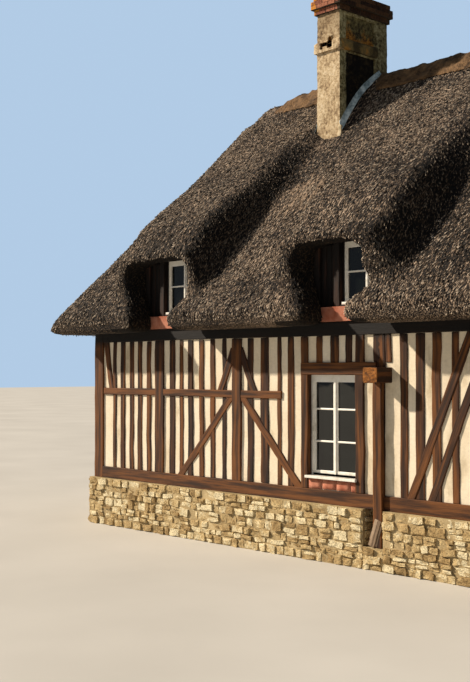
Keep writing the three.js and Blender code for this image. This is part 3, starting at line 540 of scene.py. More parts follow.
def scatter(name, stems_per_m2, length, lean_out, seed, facing_low, facing_high, top):
    """Reed ends on faces that look up between two amounts and lie below top. Each stem points
    down the slope and leans out of it."""
    tree, source, result = shape_nodes(name)
    normal = add(tree, "GeometryNodeInputNormal")
    facing = add(tree, "ShaderNodeSeparateXYZ", {}, {0: normal})
    place = add(tree, "GeometryNodeInputPosition")
    spot = add(tree, "ShaderNodeSeparateXYZ", {}, {0: place})
    tests = (("GREATER_THAN", facing, facing_low), ("LESS_THAN", facing, facing_high),
             ("LESS_THAN", spot, top))
    density = add(tree, "ShaderNodeValue")
    density.outputs[0].default_value = stems_per_m2
    for operation, value, limit in tests:
        inside = add(tree, "ShaderNodeMath", {"operation": operation, 1: limit}, {0: value.outputs["Z"]})
        density = add(tree, "ShaderNodeMath", {"operation": "MULTIPLY"}, {0: inside, 1: density})
    points = add(tree, "GeometryNodeDistributePointsOnFaces", {"Seed": seed},
                 {"Mesh": source, "Density": density})
    out = points.outputs["Normal"]
    level = add(tree, "ShaderNodeVectorMath", {"operation": "CROSS_PRODUCT", 1: (0, 0, 1)}, {0: out})
    down = add(tree, "ShaderNodeVectorMath", {"operation": "CROSS_PRODUCT"}, {0: out, 1: level})
    course = add(tree, "ShaderNodeVectorMath", {"operation": "NORMALIZE"}, {0: down})
    lean = add(tree, "ShaderNodeVectorMath", {"operation": "SCALE", "Scale": lean_out}, {0: out})
    ruffle = add(tree, "FunctionNodeRandomValue", {"data_type": "FLOAT_VECTOR", 0: (-RUFFLE,) * 3,
                                                   1: (RUFFLE,) * 3, "Seed": seed + 1})
    for part in (lean, ruffle):
        course = add(tree, "ShaderNodeVectorMath", {"operation": "ADD"}, {0: course, 1: part})
    turn = add(tree, "FunctionNodeAlignRotationToVector", {"axis": "Z"}, {"Vector": course})
    stem = add(tree, "GeometryNodeMeshCone", {"Vertices": 3, "Side Segments": 1, "Radius Top": STEM_RADIUS,
                                              "Radius Bottom": 0.0, "Depth": length})
    root = -STEM_BURIED * length
    rooted = add(tree, "GeometryNodeTransform", {"Translation": (0, 0, root)}, {"Geometry": stem})
    height = add(tree, "ShaderNodeMapRange", {"From Min": root, "From Max": root + length},
                 {"Value": spot.outputs["Z"]})
    tipped = add(tree, "GeometryNodeStoreNamedAttribute", {"domain": "POINT", "Name": "tip"},
                 {"Geometry": rooted, "Value": height})
    scale = add(tree, "FunctionNodeRandomValue", {"data_type": "FLOAT", 2: 0.55, 3: 1.35, "Seed": seed + 2})
    laid = add(tree, "GeometryNodeInstanceOnPoints", {},
               {"Points": points, "Instance": tipped, "Rotation": turn, "Scale": scale.outputs[1]})
    tone = add(tree, "FunctionNodeRandomValue", {"data_type": "FLOAT", 2: 0.0, 3: 1.0, "Seed": seed + 3})
    toned = add(tree, "GeometryNodeStoreNamedAttribute", {"domain": "INSTANCE", "Name": "tone"},
                {"Geometry": laid, "Value": tone.outputs[1]})
    real = add(tree, "GeometryNodeRealizeInstances", {}, {0: toned})
    link(tree, real, result.inputs[0])
    return tree


# The dormer mouths: how far they reach to both sides of their glass's left edge, their front and top
MOUTH_LEFT, MOUTH_RIGHT = 0.70, 0.80
MOUTH_FRONT = -3.62
MOUTH_TOP = 4.0
DORMERS = (1, 2, 3)
GLASS_EDGES = [low(f"dormer_{i}_glass", "X") for i in DORMERS]
# Painted shade: how dark the flanks that face right, away from the sun, are made.
LEE_FLANK_SHADE = 0.8


def in_mouth(centre, normal):
    """The reed inside the three dormer mouths, which looks right or down."""
    near = any(edge - MOUTH_LEFT < centre.x < edge + MOUTH_RIGHT for edge in GLASS_EDGES)
    looks_in = (normal.x > 0.25 or normal.z < -0.2) and normal.y > -0.92
    return near and looks_in and centre.y > MOUTH_FRONT and centre.z < MOUTH_TOP


def painted_shade_share(centre, normal):
    """Share of painted shade on each face: all of it in a mouth, more and more on flanks facing right, away
    from the sun.
    """
    if in_mouth(centre, normal):
        return 1.0
    return LEE_FLANK_SHADE * min(1.0, max(0.0, (normal.x - 0.15) / 0.35))


slopes = part_thatch(thatch_skin())
mark_faces(slopes["front"], "painted_shade", painted_shade_share)
for order, (side, slope) in enumerate(slopes.items()):
    node, _, _, stems_per_m2 = SLOPES[side]
    ends = []
    for kind, growth in enumerate((LAID, CUT)):
        spread = scatter(f"reed ends {side} {kind}", stems_per_m2 * (1 + kind), seed=10 * order + 5 * kind,
                         **growth)
        ends.append(apply(copy_piece(slope, "reed ends"), "NODES", node_group=spread))
    finish(join(ends, "reed ends"), f"thatch_{side}_reed_ends", "thatch", reed_end)
    bpy.context.view_layer.update()
    finish(slope, f"thatch_{side}", "thatch", reed_faces[side], node)
    slope.data.shade_smooth()


# Oak frame, in walls. A wall's own place is (along, inward, up) from the middle of its plaster face.
WALL_HALF_LENGTH = 5.40
WALL_HALF_WIDTH = 3.00
PLINTH_TOP = high("back_plinth", "Z")
SILL_TOP = 0.87
RAIL_BOTTOM = 1.97
RAIL_TOP = 2.07
PLATE_BOTTOM = 2.76
PLATE_TOP = high("front_frame", "Z")
CORNER_POST = 0.198
LONG_REACH = WALL_HALF_LENGTH + 0.018
SHORT_REACH = WALL_HALF_WIDTH - 0.18


def wall_place(turn_degrees, distance):
    return Matrix.Rotation(math.radians(turn_degrees), 4, "Z") @ Matrix.Translation((0, -distance, 0))


# Each wall's place, half its length, and the way that its timbers wander
WALLS = {
    "front": (wall_place(0, WALL_HALF_WIDTH), LONG_REACH, "X"),
    "right": (wall_place(90, WALL_HALF_LENGTH), SHORT_REACH, "Y"),
    "back": (wall_place(180, WALL_HALF_WIDTH), LONG_REACH, "X"),
    "left": (wall_place(-90, WALL_HALF_LENGTH), SHORT_REACH, "Y"),
}
FRONT = WALLS["front"][0]


# Oak, sawn and left to the weather: grain runs along each length in dark and light streaks, with
# fine drying cracks. The grain is 3 to 8 mm wide in life and is drawn at 9 mm so that it shows.
# Oiled it is red-brown, and the offcut has bleached grey. Under the eave the colour is darkened
# towards black, painted shade for the eave's shadow, and the dormer fronts are nearly black, painted
# shade for their recesses under the hoods.
def oak(name, vector_of, dark="#0e0704", mid="#3a200d", pale="#6f431c", under_eave_shade=1.0):
    material, tree = start_material(name, Roughness=0.78, Specular_IOR_Level=0.3)
    grain = add(tree, "ShaderNodeTexNoise", {**ROUGH, "Roughness": 0.65},
                {"Vector": vector_of(tree, (0.45, 0.009, 0.45))})
    figure = add(tree, "ShaderNodeTexNoise", BROAD, {"Vector": vector_of(tree, (0.9, 0.06, 0.9))})
    cracks = add(tree, "ShaderNodeTexNoise", PLAIN, {"Vector": vector_of(tree, (0.25, 0.0035, 0.25))})
    tone = add(tree, "ShaderNodeAttribute", {"attribute_name": "tone"})
    streaked = add(tree, "ShaderNodeMath", {"operation": "MULTIPLY_ADD", 1: 0.45}, {0: grain, 2: figure})
    toned = add(tree, "ShaderNodeMath", {"operation": "MULTIPLY_ADD", 1: 0.22},
                {0: tone.outputs["Fac"], 2: streaked})
    color = add(tree, "ShaderNodeValToRGB", {}, {"Fac": toned}, [(0.55, dark), (0.80, mid), (1.0, pale)])
    crack = add(tree, "ShaderNodeMapRange", {"From Min": 0.30, "From Max": 0.38, "To Min": 0.45},
                {"Value": cracks})
    cracked = add(tree, "ShaderNodeMixRGB", {**DARKEN, "Fac": 0.8}, {"Color1": color, "Color2": crack})
    # Painted shade: from just below the wall plate upwards the oak is darkened, for the eave's shadow.
    painted_eave_shade = add(tree, "ShaderNodeMapRange",
                     {"From Min": PLATE_BOTTOM - 0.10, "From Max": PLATE_BOTTOM + 0.02,
                      "To Min": 1.0, "To Max": under_eave_shade}, {"Value": spot_on(tree)["Z"]})
    final = add(tree, "ShaderNodeMixRGB", DARKEN, {"Color1": cracked, "Color2": painted_eave_shade})
    depth = add(tree, "ShaderNodeMath", {"operation": "MULTIPLY"}, {0: crack, 1: grain})
    return dress(material, final, depth, 0.6, 0.006)


weathered_oak = oak("weathered oak, oiled", uv_space, under_eave_shade=0.04)
oak_across = oak("sawn oak across the house", turned_space((0, 0, math.radians(90))))
# Painted shade: the dormer fronts' oak is nearly black, for the shade of their recesses under the hoods.
oak_in_painted_shade = oak("oak painted dark as recess shade", uv_space, "#040302", "#120a06", "#3d2417")
bleached_oak = oak("oak offcut, bleached grey", uv_space, "#2c2118", "#75604b", "#a8927a")


def timber_blank():
    """A unit of oak with cuts along it, so that it can take a wave."""
    blank = primitive(bpy.ops.mesh.primitive_cube_add, size=1)
    with editing(blank, edges=lambda centre, way: abs(way.x) > 0.5):
        bpy.ops.mesh.subdivide(number_cuts=10)
    return blank


oak_blank = timber_blank()


def mark_grain(mesh, length, depth, width, tone):
    """Lays the grain along the length, in metres, from a place of its own in the pattern."""
    layer = mesh.uv_layers.get("grain") or mesh.uv_layers.new(name="grain")
    for loop in mesh.loops:
        x, y, z = mesh.vertices[loop.vertex_index].co
        layer.data[loop.index].uv = (x * length + 40 * tone, y * depth + z * width + 9 * tone)
    for other in [one.name for one in mesh.uv_layers if one.name != "grain"]:
        mesh.uv_layers.remove(mesh.uv_layers[other])


def lay_timber(place, start, end, width, proud, depth=0.08, tone=0.5):
    """A length of oak from one point of a wall, (along, up), to another."""
    run = Vector((end[0] - start[0], 0, end[1] - start[1]))
    along = run.normalized()
    inward = Vector((0, 1, 0))
    across = along.cross(inward)
    centre = Vector(((start[0] + end[0]) / 2, depth / 2 - proud, (start[1] + end[1]) / 2))
    axes = Matrix((along * run.length, inward * depth, across * width)).transposed().to_4x4()
    piece = copy_piece(oak_blank, "oak")
    mark_grain(piece.data, run.length, depth, width, tone)
    tint(piece.data, tone)
    piece.data.transform(place @ Matrix.Translation(centre) @ axes)
    return piece


# Front timbers, as distances along the front from its left corner, with widths
LEFT_BAY_STUDS = [
    (0.460, 0.080), (0.665, 0.105), (0.885, 0.095), (1.080, 0.100), (1.295, 0.095), (1.825, 0.120),
    (2.030, 0.080), (2.230, 0.105), (2.465, 0.090), (2.695, 0.095), (2.935, 0.080), (3.440, 0.110),
    (3.710, 0.150),
]
MIDDLE_STUDS = [
    (3.980, 0.070), (4.185, 0.110), (6.000, 0.110), (6.235, 0.130), (6.465, 0.120), (6.720, 0.095),
    (5.660, 0.120), (7.000, 0.150),
]
SHORT_STUDS = [(4.680, 0.100), (4.925, 0.130), (5.160, 0.105), (5.595, 0.105), (5.770, 0.090)]
MAIN_POSTS = [(1.545, 0.190), (3.185, 0.170)]
FAR_CORNER = 2 * WALL_HALF_LENGTH
WINDOW = (4.491, 5.280, 1.000, 2.280)
LINTEL_TOP = 2.43
RAIL_END = 4.03
DOOR = (7.700, 8.620, low("front_door", "Z"), high("front_door", "Z"))
DOOR_LINTEL = 0.15
DOOR_JAMB = 0.12
BRACE_IN_LINTEL = 0.09
BEAM_LEFT = low("middle_beam", "X") + WALL_HALF_LENGTH
JAMB = 0.112
RIGHT_JAMB = 0.13
BRACE = 0.105
BRACE_HEAD = 2.62
BRACE_FOOT = RAIL_TOP - 0.03
BRACE_END = SILL_TOP - 0.07
UPPER_BRACES = [((0.25, 2.78), (0.384, BRACE_FOOT)), ((3.125, BRACE_HEAD), (2.842, BRACE_FOOT)),
                ((3.245, BRACE_HEAD), (3.527, BRACE_FOOT))]
LONG_BRACES = [((3.25, 2.03), (4.404, BRACE_END)), ((3.12, 2.03), (1.966, BRACE_END)),
               ((6.95, 2.79), (6.074, BRACE_END)), ((6.96, 2.20), (6.366, BRACE_END))]

# How far each kind of timber stands out of the plaster. Braces run under what they meet.
STUD, BRACED, RAIL, BEAM, POST, OVER = 0.014, 0.020, 0.024, 0.027, 0.029, 0.032
BEAM_DEPTH = 0.19
POST_DEPTH = 0.2


def front_timbers():
    """(start, end, width, proud) of each length, in places along the front."""
    pieces = []

    def upright(center, width, bottom=SILL_TOP, top=PLATE_BOTTOM, proud=STUD):
        pieces.append(((center, bottom), (center, top), width, proud))

    def level(left, right, bottom, top, proud=RAIL):
        pieces.append(((left, (bottom + top) / 2), (right, (bottom + top) / 2), top - bottom, proud))

    for place in (lambda s: s, lambda s: FAR_CORNER - s):
        for center, width in LEFT_BAY_STUDS:
            over_door = DOOR[0] - width < place(center) < DOOR[1] + width
            upright(place(center), width, DOOR[3] + DOOR_LINTEL if over_door else SILL_TOP)
        for center, width in MAIN_POSTS:
            upright(place(center), width, proud=POST)
        for head, foot in UPPER_BRACES:
            reach = head[1] - foot[1]
            over_door = DOOR[0] < place(foot[0]) < DOOR[1]
            drop = head[1] - DOOR[3] - BRACE_IN_LINTEL if over_door else reach
            side = head[0] + (foot[0] - head[0]) * drop / reach
            pieces.append(((place(head[0]), head[1]), (place(side), head[1] - drop), BRACE, BRACED))
    for center, width in MIDDLE_STUDS:
        upright(center, width)
    for center, width in SHORT_STUDS:
        upright(center, width, LINTEL_TOP)
    upright(WINDOW[0] - JAMB / 2, JAMB, proud=POST)
    upright(WINDOW[1] + RIGHT_JAMB / 2, RIGHT_JAMB, proud=POST)
    upright(DOOR[1] + DOOR_JAMB / 2, DOOR_JAMB, PLINTH_TOP, proud=POST)
    level(CORNER_POST, RAIL_END, RAIL_BOTTOM, RAIL_TOP)
    level(DOOR[1] + DOOR_JAMB, FAR_CORNER - CORNER_POST, RAIL_BOTTOM, RAIL_TOP)
    level(WINDOW[0] - JAMB, BEAM_LEFT, WINDOW[3], LINTEL_TOP, OVER)
    level(DOOR[0] - 0.05, DOOR[1] + 0.13, DOOR[3], DOOR[3] + DOOR_LINTEL, OVER)
    for head, foot in LONG_BRACES:
        pieces.append((head, foot, BRACE, BRACED))
    level(MIDDLE_STUDS[-1][0], FAR_CORNER - MAIN_POSTS[1][0], RAIL_BOTTOM, RAIL_TOP)
    return [((start[0] - WALL_HALF_LENGTH, start[1]), (end[0] - WALL_HALF_LENGTH, end[1]), width, proud)
            for start, end, width, proud in pieces]


PLAIN_SPACING = 0.3
PLAIN_STUD = 0.105
PLAIN_POST = 0.17
RAIL_BETWEEN_WINDOWS = 1.7


def plain_timbers(half, windows):
    """Close studs, a braced post, a rail and window frames, on a wall that the photograph lacks."""
    pieces = []
    count = round(2 * half / PLAIN_SPACING)
    for step in range(1, count):
        center = -half + step * 2 * half / count
        over = any(left - PLAIN_STUD < center < right + PLAIN_STUD for left, right, *_ in windows)
        foot = LINTEL_TOP if over else SILL_TOP
        pieces.append(((center, foot), (center, PLATE_BOTTOM), PLAIN_STUD, STUD))
    pieces.append(((0, SILL_TOP), (0, PLATE_BOTTOM), PLAIN_POST, POST))
    for sign in (-1, 1):
        pieces.append(((sign * 0.06, BRACE_HEAD), (sign * 0.344, BRACE_FOOT), BRACE, BRACED))
    reach = RAIL_BETWEEN_WINDOWS if windows else half
    rail = (RAIL_BOTTOM + RAIL_TOP) / 2
    pieces.append(((-reach, rail), (reach, rail), RAIL_TOP - RAIL_BOTTOM, RAIL))
    for left, right, bottom, top in windows:
        for jamb in (left - JAMB / 2, right + JAMB / 2):
            pieces.append(((jamb, SILL_TOP), (jamb, PLATE_BOTTOM), JAMB, POST))
        lintel = (top + LINTEL_TOP) / 2
        pieces.append(((left - JAMB, lintel), (right + JAMB, lintel), LINTEL_TOP - top, OVER))
    return pieces


HALF_WINDOW = (WINDOW[1] - WINDOW[0]) / 2
BACK_WINDOWS = [(center - HALF_WINDOW, center + HALF_WINDOW, *WINDOW[2:]) for center in (-2.3, 2.3)]
FRONT_WINDOW = (WINDOW[0] - WALL_HALF_LENGTH, WINDOW[1] - WALL_HALF_LENGTH, *WINDOW[2:])
FRONT_DOOR = (DOOR[0] - WALL_HALF_LENGTH, DOOR[1] - WALL_HALF_LENGTH, *DOOR[2:])
OPENINGS = {"front": [FRONT_WINDOW, FRONT_DOOR], "back": BACK_WINDOWS, "left": [], "right": []}


def wall_frame(side, rng):
    """All the timbers of one wall, with wandering edges and worn corners."""
    place, half, sideways = WALLS[side]
    long_wall = half == LONG_REACH
    inner = half - CORNER_POST if long_wall else half
    timbers = front_timbers() if side == "front" else plain_timbers(inner, OPENINGS[side])
    lengths = [lay_timber(place, start, end, width, proud + rng.uniform(-0.003, 0.003), tone=rng.random())
               for start, end, width, proud in timbers]
    beams = [(-half, half, PLATE_BOTTOM, PLATE_TOP)]
    sill_ends = [-half, FRONT_DOOR[0], FRONT_DOOR[1], half] if side == "front" else [-half, half]
    for left, right in zip(sill_ends[::2], sill_ends[1::2]):
        beams.append((left, right, PLINTH_TOP, SILL_TOP))
    for left, right, bottom, top in beams:
        level = (bottom + top) / 2
        lengths.append(lay_timber(place, (left, level), (right, level), top - bottom, BEAM, BEAM_DEPTH,
                                  rng.random()))
    if long_wall:
        for sign in (-1, 1):
            post = sign * (half - CORNER_POST / 2)
            lengths.append(lay_timber(place, (post, PLINTH_TOP), (post, PLATE_TOP), CORNER_POST + 0.006,
                                      POST, POST_DEPTH, rng.random()))
    timberwork = ease(join(lengths, "oak"), 0.008)
    roughen(timberwork, 0.45, 0.034, sideways)
    roughen(timberwork, 0.6, 0.02, "Z")
    roughen(timberwork, 0.14, 0.009)
    finish(timberwork, f"{side}_timbers", "timber", weathered_oak, f"{side}_frame")


oak_rng = random.Random(11)
for side in WALLS:
    wall_frame(side, oak_rng)


# Lime plaster floated by hand and limewashed: slow swells, trowel marks 30 to 50 mm across, and
# dust and rain stains that darken it, so that no panel is an even cream.
def lime_plaster():
    material, tree = start_material("lime plaster, limewashed", Roughness=0.9, Specular_IOR_Level=0.25)
    stains = add(tree, "ShaderNodeTexNoise", {**RAGGED, "Roughness": 0.6},
                 {"Vector": object_space(tree, (0.35, 0.35, 0.8))})
    trowel = add(tree, "ShaderNodeTexNoise", {**ROUGH, "Roughness": 0.55},
                 {"Vector": object_space(tree, (0.05, 0.05, 0.03))})
    color = add(tree, "ShaderNodeValToRGB", {}, {"Fac": stains},
                [(0.25, "#b3a283"), (0.42, "#e6d8bd"), (0.75, "#f3e8d3")])
    marks = add(tree, "ShaderNodeMapRange", {"From Min": 0.3, "From Max": 0.7, "To Min": 0.88},
                {"Value": trowel})
    final = add(tree, "ShaderNodeMixRGB", DARKEN, {"Color1": color, "Color2": marks})
    return dress(material, final, trowel, 0.5, 0.006)


limewash = lime_plaster()
PLASTER_CELL = 0.08
PLASTER_THICKNESS = 0.165
PLASTER_TUCK = 0.06
REVEAL = 0.04
UPRIGHT = Matrix.Rotation(math.radians(90), 4, "X")


def wall_plaster(side):
    """One sheet behind a wall's timbers, open at its windows and its door."""
    place, half, _ = WALLS[side]
    width = 2 * (half - PLASTER_TUCK)
    height = PLATE_TOP - PLINTH_TOP - 2 * PLASTER_TUCK
    sheet = primitive(bpy.ops.mesh.primitive_grid_add, x_subdivisions=round(width / PLASTER_CELL),
                      y_subdivisions=round(height / PLASTER_CELL), size=1)
    centre = Matrix.Translation((0, 0, (PLATE_TOP + PLINTH_TOP) / 2))
    sheet.data.transform(centre @ UPRIGHT @ Matrix.Diagonal((width, height, 1, 1)))
    for left, right, bottom, top in OPENINGS[side]:
        with editing(sheet, faces=lambda spot, normal: left - REVEAL < spot.x < right + REVEAL
                     and bottom - REVEAL < spot.z < top + REVEAL):
            bpy.ops.mesh.delete(type="FACE")
    sheet.data.transform(place)
    roughen(sheet, 0.3, 0.014)
    apply(sheet, "SOLIDIFY", thickness=PLASTER_THICKNESS, offset=-1)
    sheet.data.shade_smooth()
    finish(sheet, f"{side}_limewash", "plaster", limewash, f"{side}_plaster")


for side in WALLS:
    wall_plaster(side)


# Rubble limestone, split and laid by hand: each stone has its own tone from cream to ochre, and a
# face pitted at 14 to 22 mm that catches the sun unevenly. The lime mortar is sandy and set back.
def limestone():
    material, tree = start_material("rubble limestone", Roughness=0.92, Specular_IOR_Level=0.2)
    tone = add(tree, "ShaderNodeAttribute", {"attribute_name": "tone"})
    cloudy = add(tree, "ShaderNodeTexNoise", ROUGH, {"Vector": object_space(tree, 0.09)})
    pits = add(tree, "ShaderNodeTexNoise", GRITTY, {"Vector": object_space(tree, (0.022, 0.022, 0.014))})
    both = add(tree, "ShaderNodeMath", {"operation": "MULTIPLY_ADD", 1: 0.6},
               {0: tone.outputs["Fac"], 2: cloudy})
    color = add(tree, "ShaderNodeValToRGB", {}, {"Fac": both},
                [(0.30, "#77603c"), (0.55, "#ab9063"), (0.80, "#ccb484"), (1.05, "#e6d8b2")])
    speck = add(tree, "ShaderNodeMapRange", {"From Min": 0.36, "From Max": 0.52, "To Min": 0.35},
                {"Value": pits})
    final = add(tree, "ShaderNodeMixRGB", {**DARKEN, "Fac": 0.8}, {"Color1": color, "Color2": speck})
    return dress(material, final, pits, 1.0, 0.014)


rubble = limestone()
lime_mortar = sandy("lime mortar", "#85724f", "#c4b087", 0.012, 0.2, 0.008)


def worn_shapes(count, rng, worn, chipped):
    """A few rough blocks, one unit in each direction, to be laid many times. Broad faces are
    slanted by worn, and the rest is broken up by chipped."""
    blocks = []
    for _ in range(count):
        block = primitive(bpy.ops.mesh.primitive_cube_add, size=1)
        with editing(block):
            bpy.ops.mesh.subdivide(number_cuts=2)
        apply(block, "SMOOTH", factor=worn, iterations=1)
        block.data.transform(Matrix.Translation(Vector([rng.uniform(-9, 9) for _ in range(3)])))
        roughen(block, 0.8, worn)
        roughen(block, 0.25, chipped)
        corners = [vertex.co for vertex in block.data.vertices]
        lowest, highest = (Vector(map(pick, zip(*corners))) for pick in (min, max))
        block.data.transform(Matrix.Diagonal((*(1 / side for side in highest - lowest), 1))
                             @ Matrix.Translation(-(lowest + highest) / 2))
        blocks.append(block)
    return blocks


STONE_DEPTH = 0.12
COURSE = 0.095
STONE_LENGTH = 0.165
STONE_JOINT = 0.003
SHORTEST_STONE = 0.06


def lay_stones(place, left, right, bottom, top, shapes, rng):
    """Courses of rubble on one face, with the joints staggered by their random lengths."""
    stones = []
    courses = max(1, round((top - bottom) / COURSE))
    shifts = [rng.uniform(-0.22, 0.22) if 0 < row < courses else 0 for row in range(courses + 1)]
    levels = [bottom + (top - bottom) * (row + shift) / courses for row, shift in enumerate(shifts)]
    for low_edge, high_edge in zip(levels, levels[1:]):
        spot = left
        while spot < right - 0.01:
            width = min(STONE_LENGTH * rng.uniform(0.5, 1.6), right - spot)
            if right - spot - width < SHORTEST_STONE:
                width = right - spot
            halves = 2 if high_edge - low_edge > 0.10 and rng.random() < 0.3 else 1
            height = (high_edge - low_edge) / halves
            for part in range(halves):
                stone = copy_piece(rng.choice(shapes), "stone")
                tint(stone.data, rng.random())
                proud = rng.uniform(0.008, 0.042)
                centre = (spot + width / 2, STONE_DEPTH / 2 - proud, low_edge + (part + 0.5) * height)
                flip = Matrix.Rotation(rng.choice((0, math.pi)), 4, "Y")
                tilt = Matrix.Rotation(rng.uniform(-0.10, 0.10), 4, "Y")
                size = Matrix.Diagonal((width - STONE_JOINT, STONE_DEPTH,
                                        height * rng.uniform(0.92, 1.06) - STONE_JOINT, 1))
                stone.data.transform(place @ Matrix.Translation(centre) @ tilt @ flip @ size)
                stones.append(stone)
            spot += width
    return stones


# The plinth's faces, with a niche in the front for the foot of the post: left, right, foot, depth
PLINTH_FACE = 0.08
NICHE = (0.035, 0.340, 0.265, 0.23)
PLINTH_END = WALL_HALF_WIDTH + PLINTH_FACE
PLINTH_SIDE = WALL_HALF_LENGTH + PLINTH_FACE
STONE_FACES = {side: place @ Matrix.Translation((0, -PLINTH_FACE, 0))
               for side, (place, _, _) in WALLS.items()}
for cheek, x, turn in (("left cheek", NICHE[0], 90), ("right cheek", NICHE[1], -90)):
    STONE_FACES[cheek] = Matrix.Translation((x, 0, 0)) @ Matrix.Rotation(math.radians(turn), 4, "Z")
STONEWORK = {
    "front_plinth_left": [
        ("front", -PLINTH_SIDE, NICHE[0], 0), ("front", NICHE[0], NICHE[1], 0),
        ("front", NICHE[1], FRONT_DOOR[0], 0),
        ("left cheek", 0.02 - PLINTH_END, NICHE[3] - PLINTH_END, NICHE[2]),
        ("right cheek", PLINTH_END - NICHE[3], PLINTH_END - 0.02, NICHE[2])],
    "front_plinth_right": [("front", FRONT_DOOR[1], PLINTH_SIDE, 0)],
    "back_plinth": [("back", -PLINTH_SIDE, PLINTH_SIDE, 0)],
    "left_plinth": [("left", -PLINTH_END, PLINTH_END, 0)],
    "right_plinth": [("right", -PLINTH_END, PLINTH_END, 0)],
}


def plinth():
    rng = random.Random(5)
    shapes = worn_shapes(9, rng, 0.40, 0.50)
    for node, stretches in STONEWORK.items():
        stones = []
        for face, left, right, bottom in stretches:
            top = NICHE[2] if left == NICHE[0] else PLINTH_TOP
            stones += lay_stones(STONE_FACES[face], left, right, bottom, top, shapes, rng)
        stonework = join(stones, "stones")
        smooth_faces(stonework)
        finish(stonework, f"{node}_stones", "stone", rubble)
        repaint(node, lime_mortar)
    remove(shapes)


plinth()


# White gloss paint on softwood, brushed on and gone slightly uneven: it shines softly, with brush
# marks about 15 mm apart and a little dirt in clouds of 120 mm.
def gloss_paint():
    material, tree = start_material("white gloss paint on softwood", Roughness=0.32, Coat_Weight=0.3)
    dirt = add(tree, "ShaderNodeTexNoise", RAGGED, {"Vector": object_space(tree, 0.12)})
    brushed = add(tree, "ShaderNodeTexNoise", PLAIN, {"Vector": object_space(tree, 0.015)})
    color = add(tree, "ShaderNodeValToRGB", {}, {"Fac": dirt},
                [(0.30, "#cfcabb"), (0.48, "#eeebe0"), (0.70, "#f6f4ec")])
    return dress(material, color, brushed, 0.25, 0.002)


white_gloss = gloss_paint()

# Clear window glass, drawn, so it waves a little over 250 mm and bends what it mirrors. Its colour
# is nearly black, painted shade for the dark room behind it.
glass_painted_dark = drifting("clear window glass", 0.25, {"Scale": 1.0, "Detail": 1},
                       [(0.3, "#0b0d0c"), (0.7, "#171c1a")], 0.15, 0.01,
                       Roughness=0.03, IOR=1.5, Transmission_Weight=0.5)

# Casements: a fixed frame and two leaves with glazing bars, and a sill board below
FIXED_FRAME = 0.030
LEAF_STILE = 0.040
GLAZING_BAR = 0.022
SILL_BOARD = 0.035
REBATE = 0.006
LEAF_OVERLAP = 0.004
FRAME_DEPTHS = (0.050, 0.110)
LEFT_LEAF_DEPTHS = (0.060, 0.102)
RIGHT_LEAF_DEPTHS = (0.062, 0.104)


def light(left, right, bottom, top, panes, stile, near, far):
    """A frame that lies between two depths, with bars that part its opening into equal panes."""
    frame_piece = primitive(bpy.ops.mesh.primitive_grid_add, x_subdivisions=1, y_subdivisions=panes, size=1)
    frame_piece.data.transform(Matrix.Translation(((left + right) / 2, near, (bottom + top) / 2)) @ UPRIGHT
                               @ Matrix.Diagonal((right - left, top - bottom, 1, 1)))
    bar = GLAZING_BAR if panes > 1 else 0
    with editing(frame_piece):
        bpy.ops.mesh.inset(thickness=stile - bar / 2)
        bpy.ops.mesh.inset(thickness=bar / 2, use_individual=True)
        bpy.ops.mesh.delete(type="FACE")
    apply(frame_piece, "SOLIDIFY", thickness=far - near, offset=-1)
    return ease(frame_piece, 0.004)


def casement(name, side, opening, panes, sill_reach, fixed=FIXED_FRAME, stile=LEAF_STILE):
    left, right, bottom, top = opening
    meeting = (left + right) / 2
    base = bottom + SILL_BOARD
    inner = fixed - REBATE
    foot, head = base + inner, top - inner
    sill_past = 0.02 if sill_reach else 0
    window = join([
        light(left + 0.001, right - 0.001, base - 0.004, top - 0.001, 1, fixed, *FRAME_DEPTHS),
        light(left + inner, meeting + LEAF_OVERLAP, foot, head, panes, stile, *LEFT_LEAF_DEPTHS),
        light(meeting - LEAF_OVERLAP, right - inner, foot, head, panes, stile, *RIGHT_LEAF_DEPTHS),
        ease(squared(meeting - 0.014, meeting + 0.014, 0.048, 0.064, foot, head), 0.004, 3),
        ease(squared(left - sill_past, right + sill_past, -sill_reach - 0.012, 0.105, bottom + 0.001, base),
             0.007, 3),
    ], name)
    window.data.transform(WALLS[side][0])
    finish(window, f"{name}_leaves", "paint", white_gloss, f"{name}_casement")
    pane = ease(squared(left + inner, right - inner, 0.080, 0.084, base, head), 0.001, 3)
    pane.data.transform(WALLS[side][0])
    finish(pane, f"{name}_panes", "glass", glass_painted_dark, f"{name}_glass")


DORMER_CENTERS = [middle(f"dormer_{i}_glass", "X") for i in DORMERS]
DORMER_HALF = 0.35
DORMER_SILL = 3.13
DORMER_HEAD = 3.90
DORMER_FRAME = 0.016
DORMER_STILE = 0.032

casement("front_window", "front", FRONT_WINDOW, 3, 0.05)
for name, opening in (("back_left_window", BACK_WINDOWS[1]), ("back_right_window", BACK_WINDOWS[0])):
    casement(name, "back", opening, 3, 0.05)
for i, center in zip(DORMERS, DORMER_CENTERS):
    casement(f"dormer_{i}", "front", (center - DORMER_HALF, center + DORMER_HALF, DORMER_SILL, DORMER_HEAD),
             2, 0, DORMER_FRAME, DORMER_STILE)

# Dormer fronts: posts, head and sill round the window, and upright boards at its left
DORMER_POST = 0.12
SIDE_BOARDS = 0.33
BOARD_COUNT = 3
OUTER_POST = 0.09
HEAD_TOP = high("dormer_1_frame", "Z")
APRON_TOP = low("dormer_1_frame", "Z")


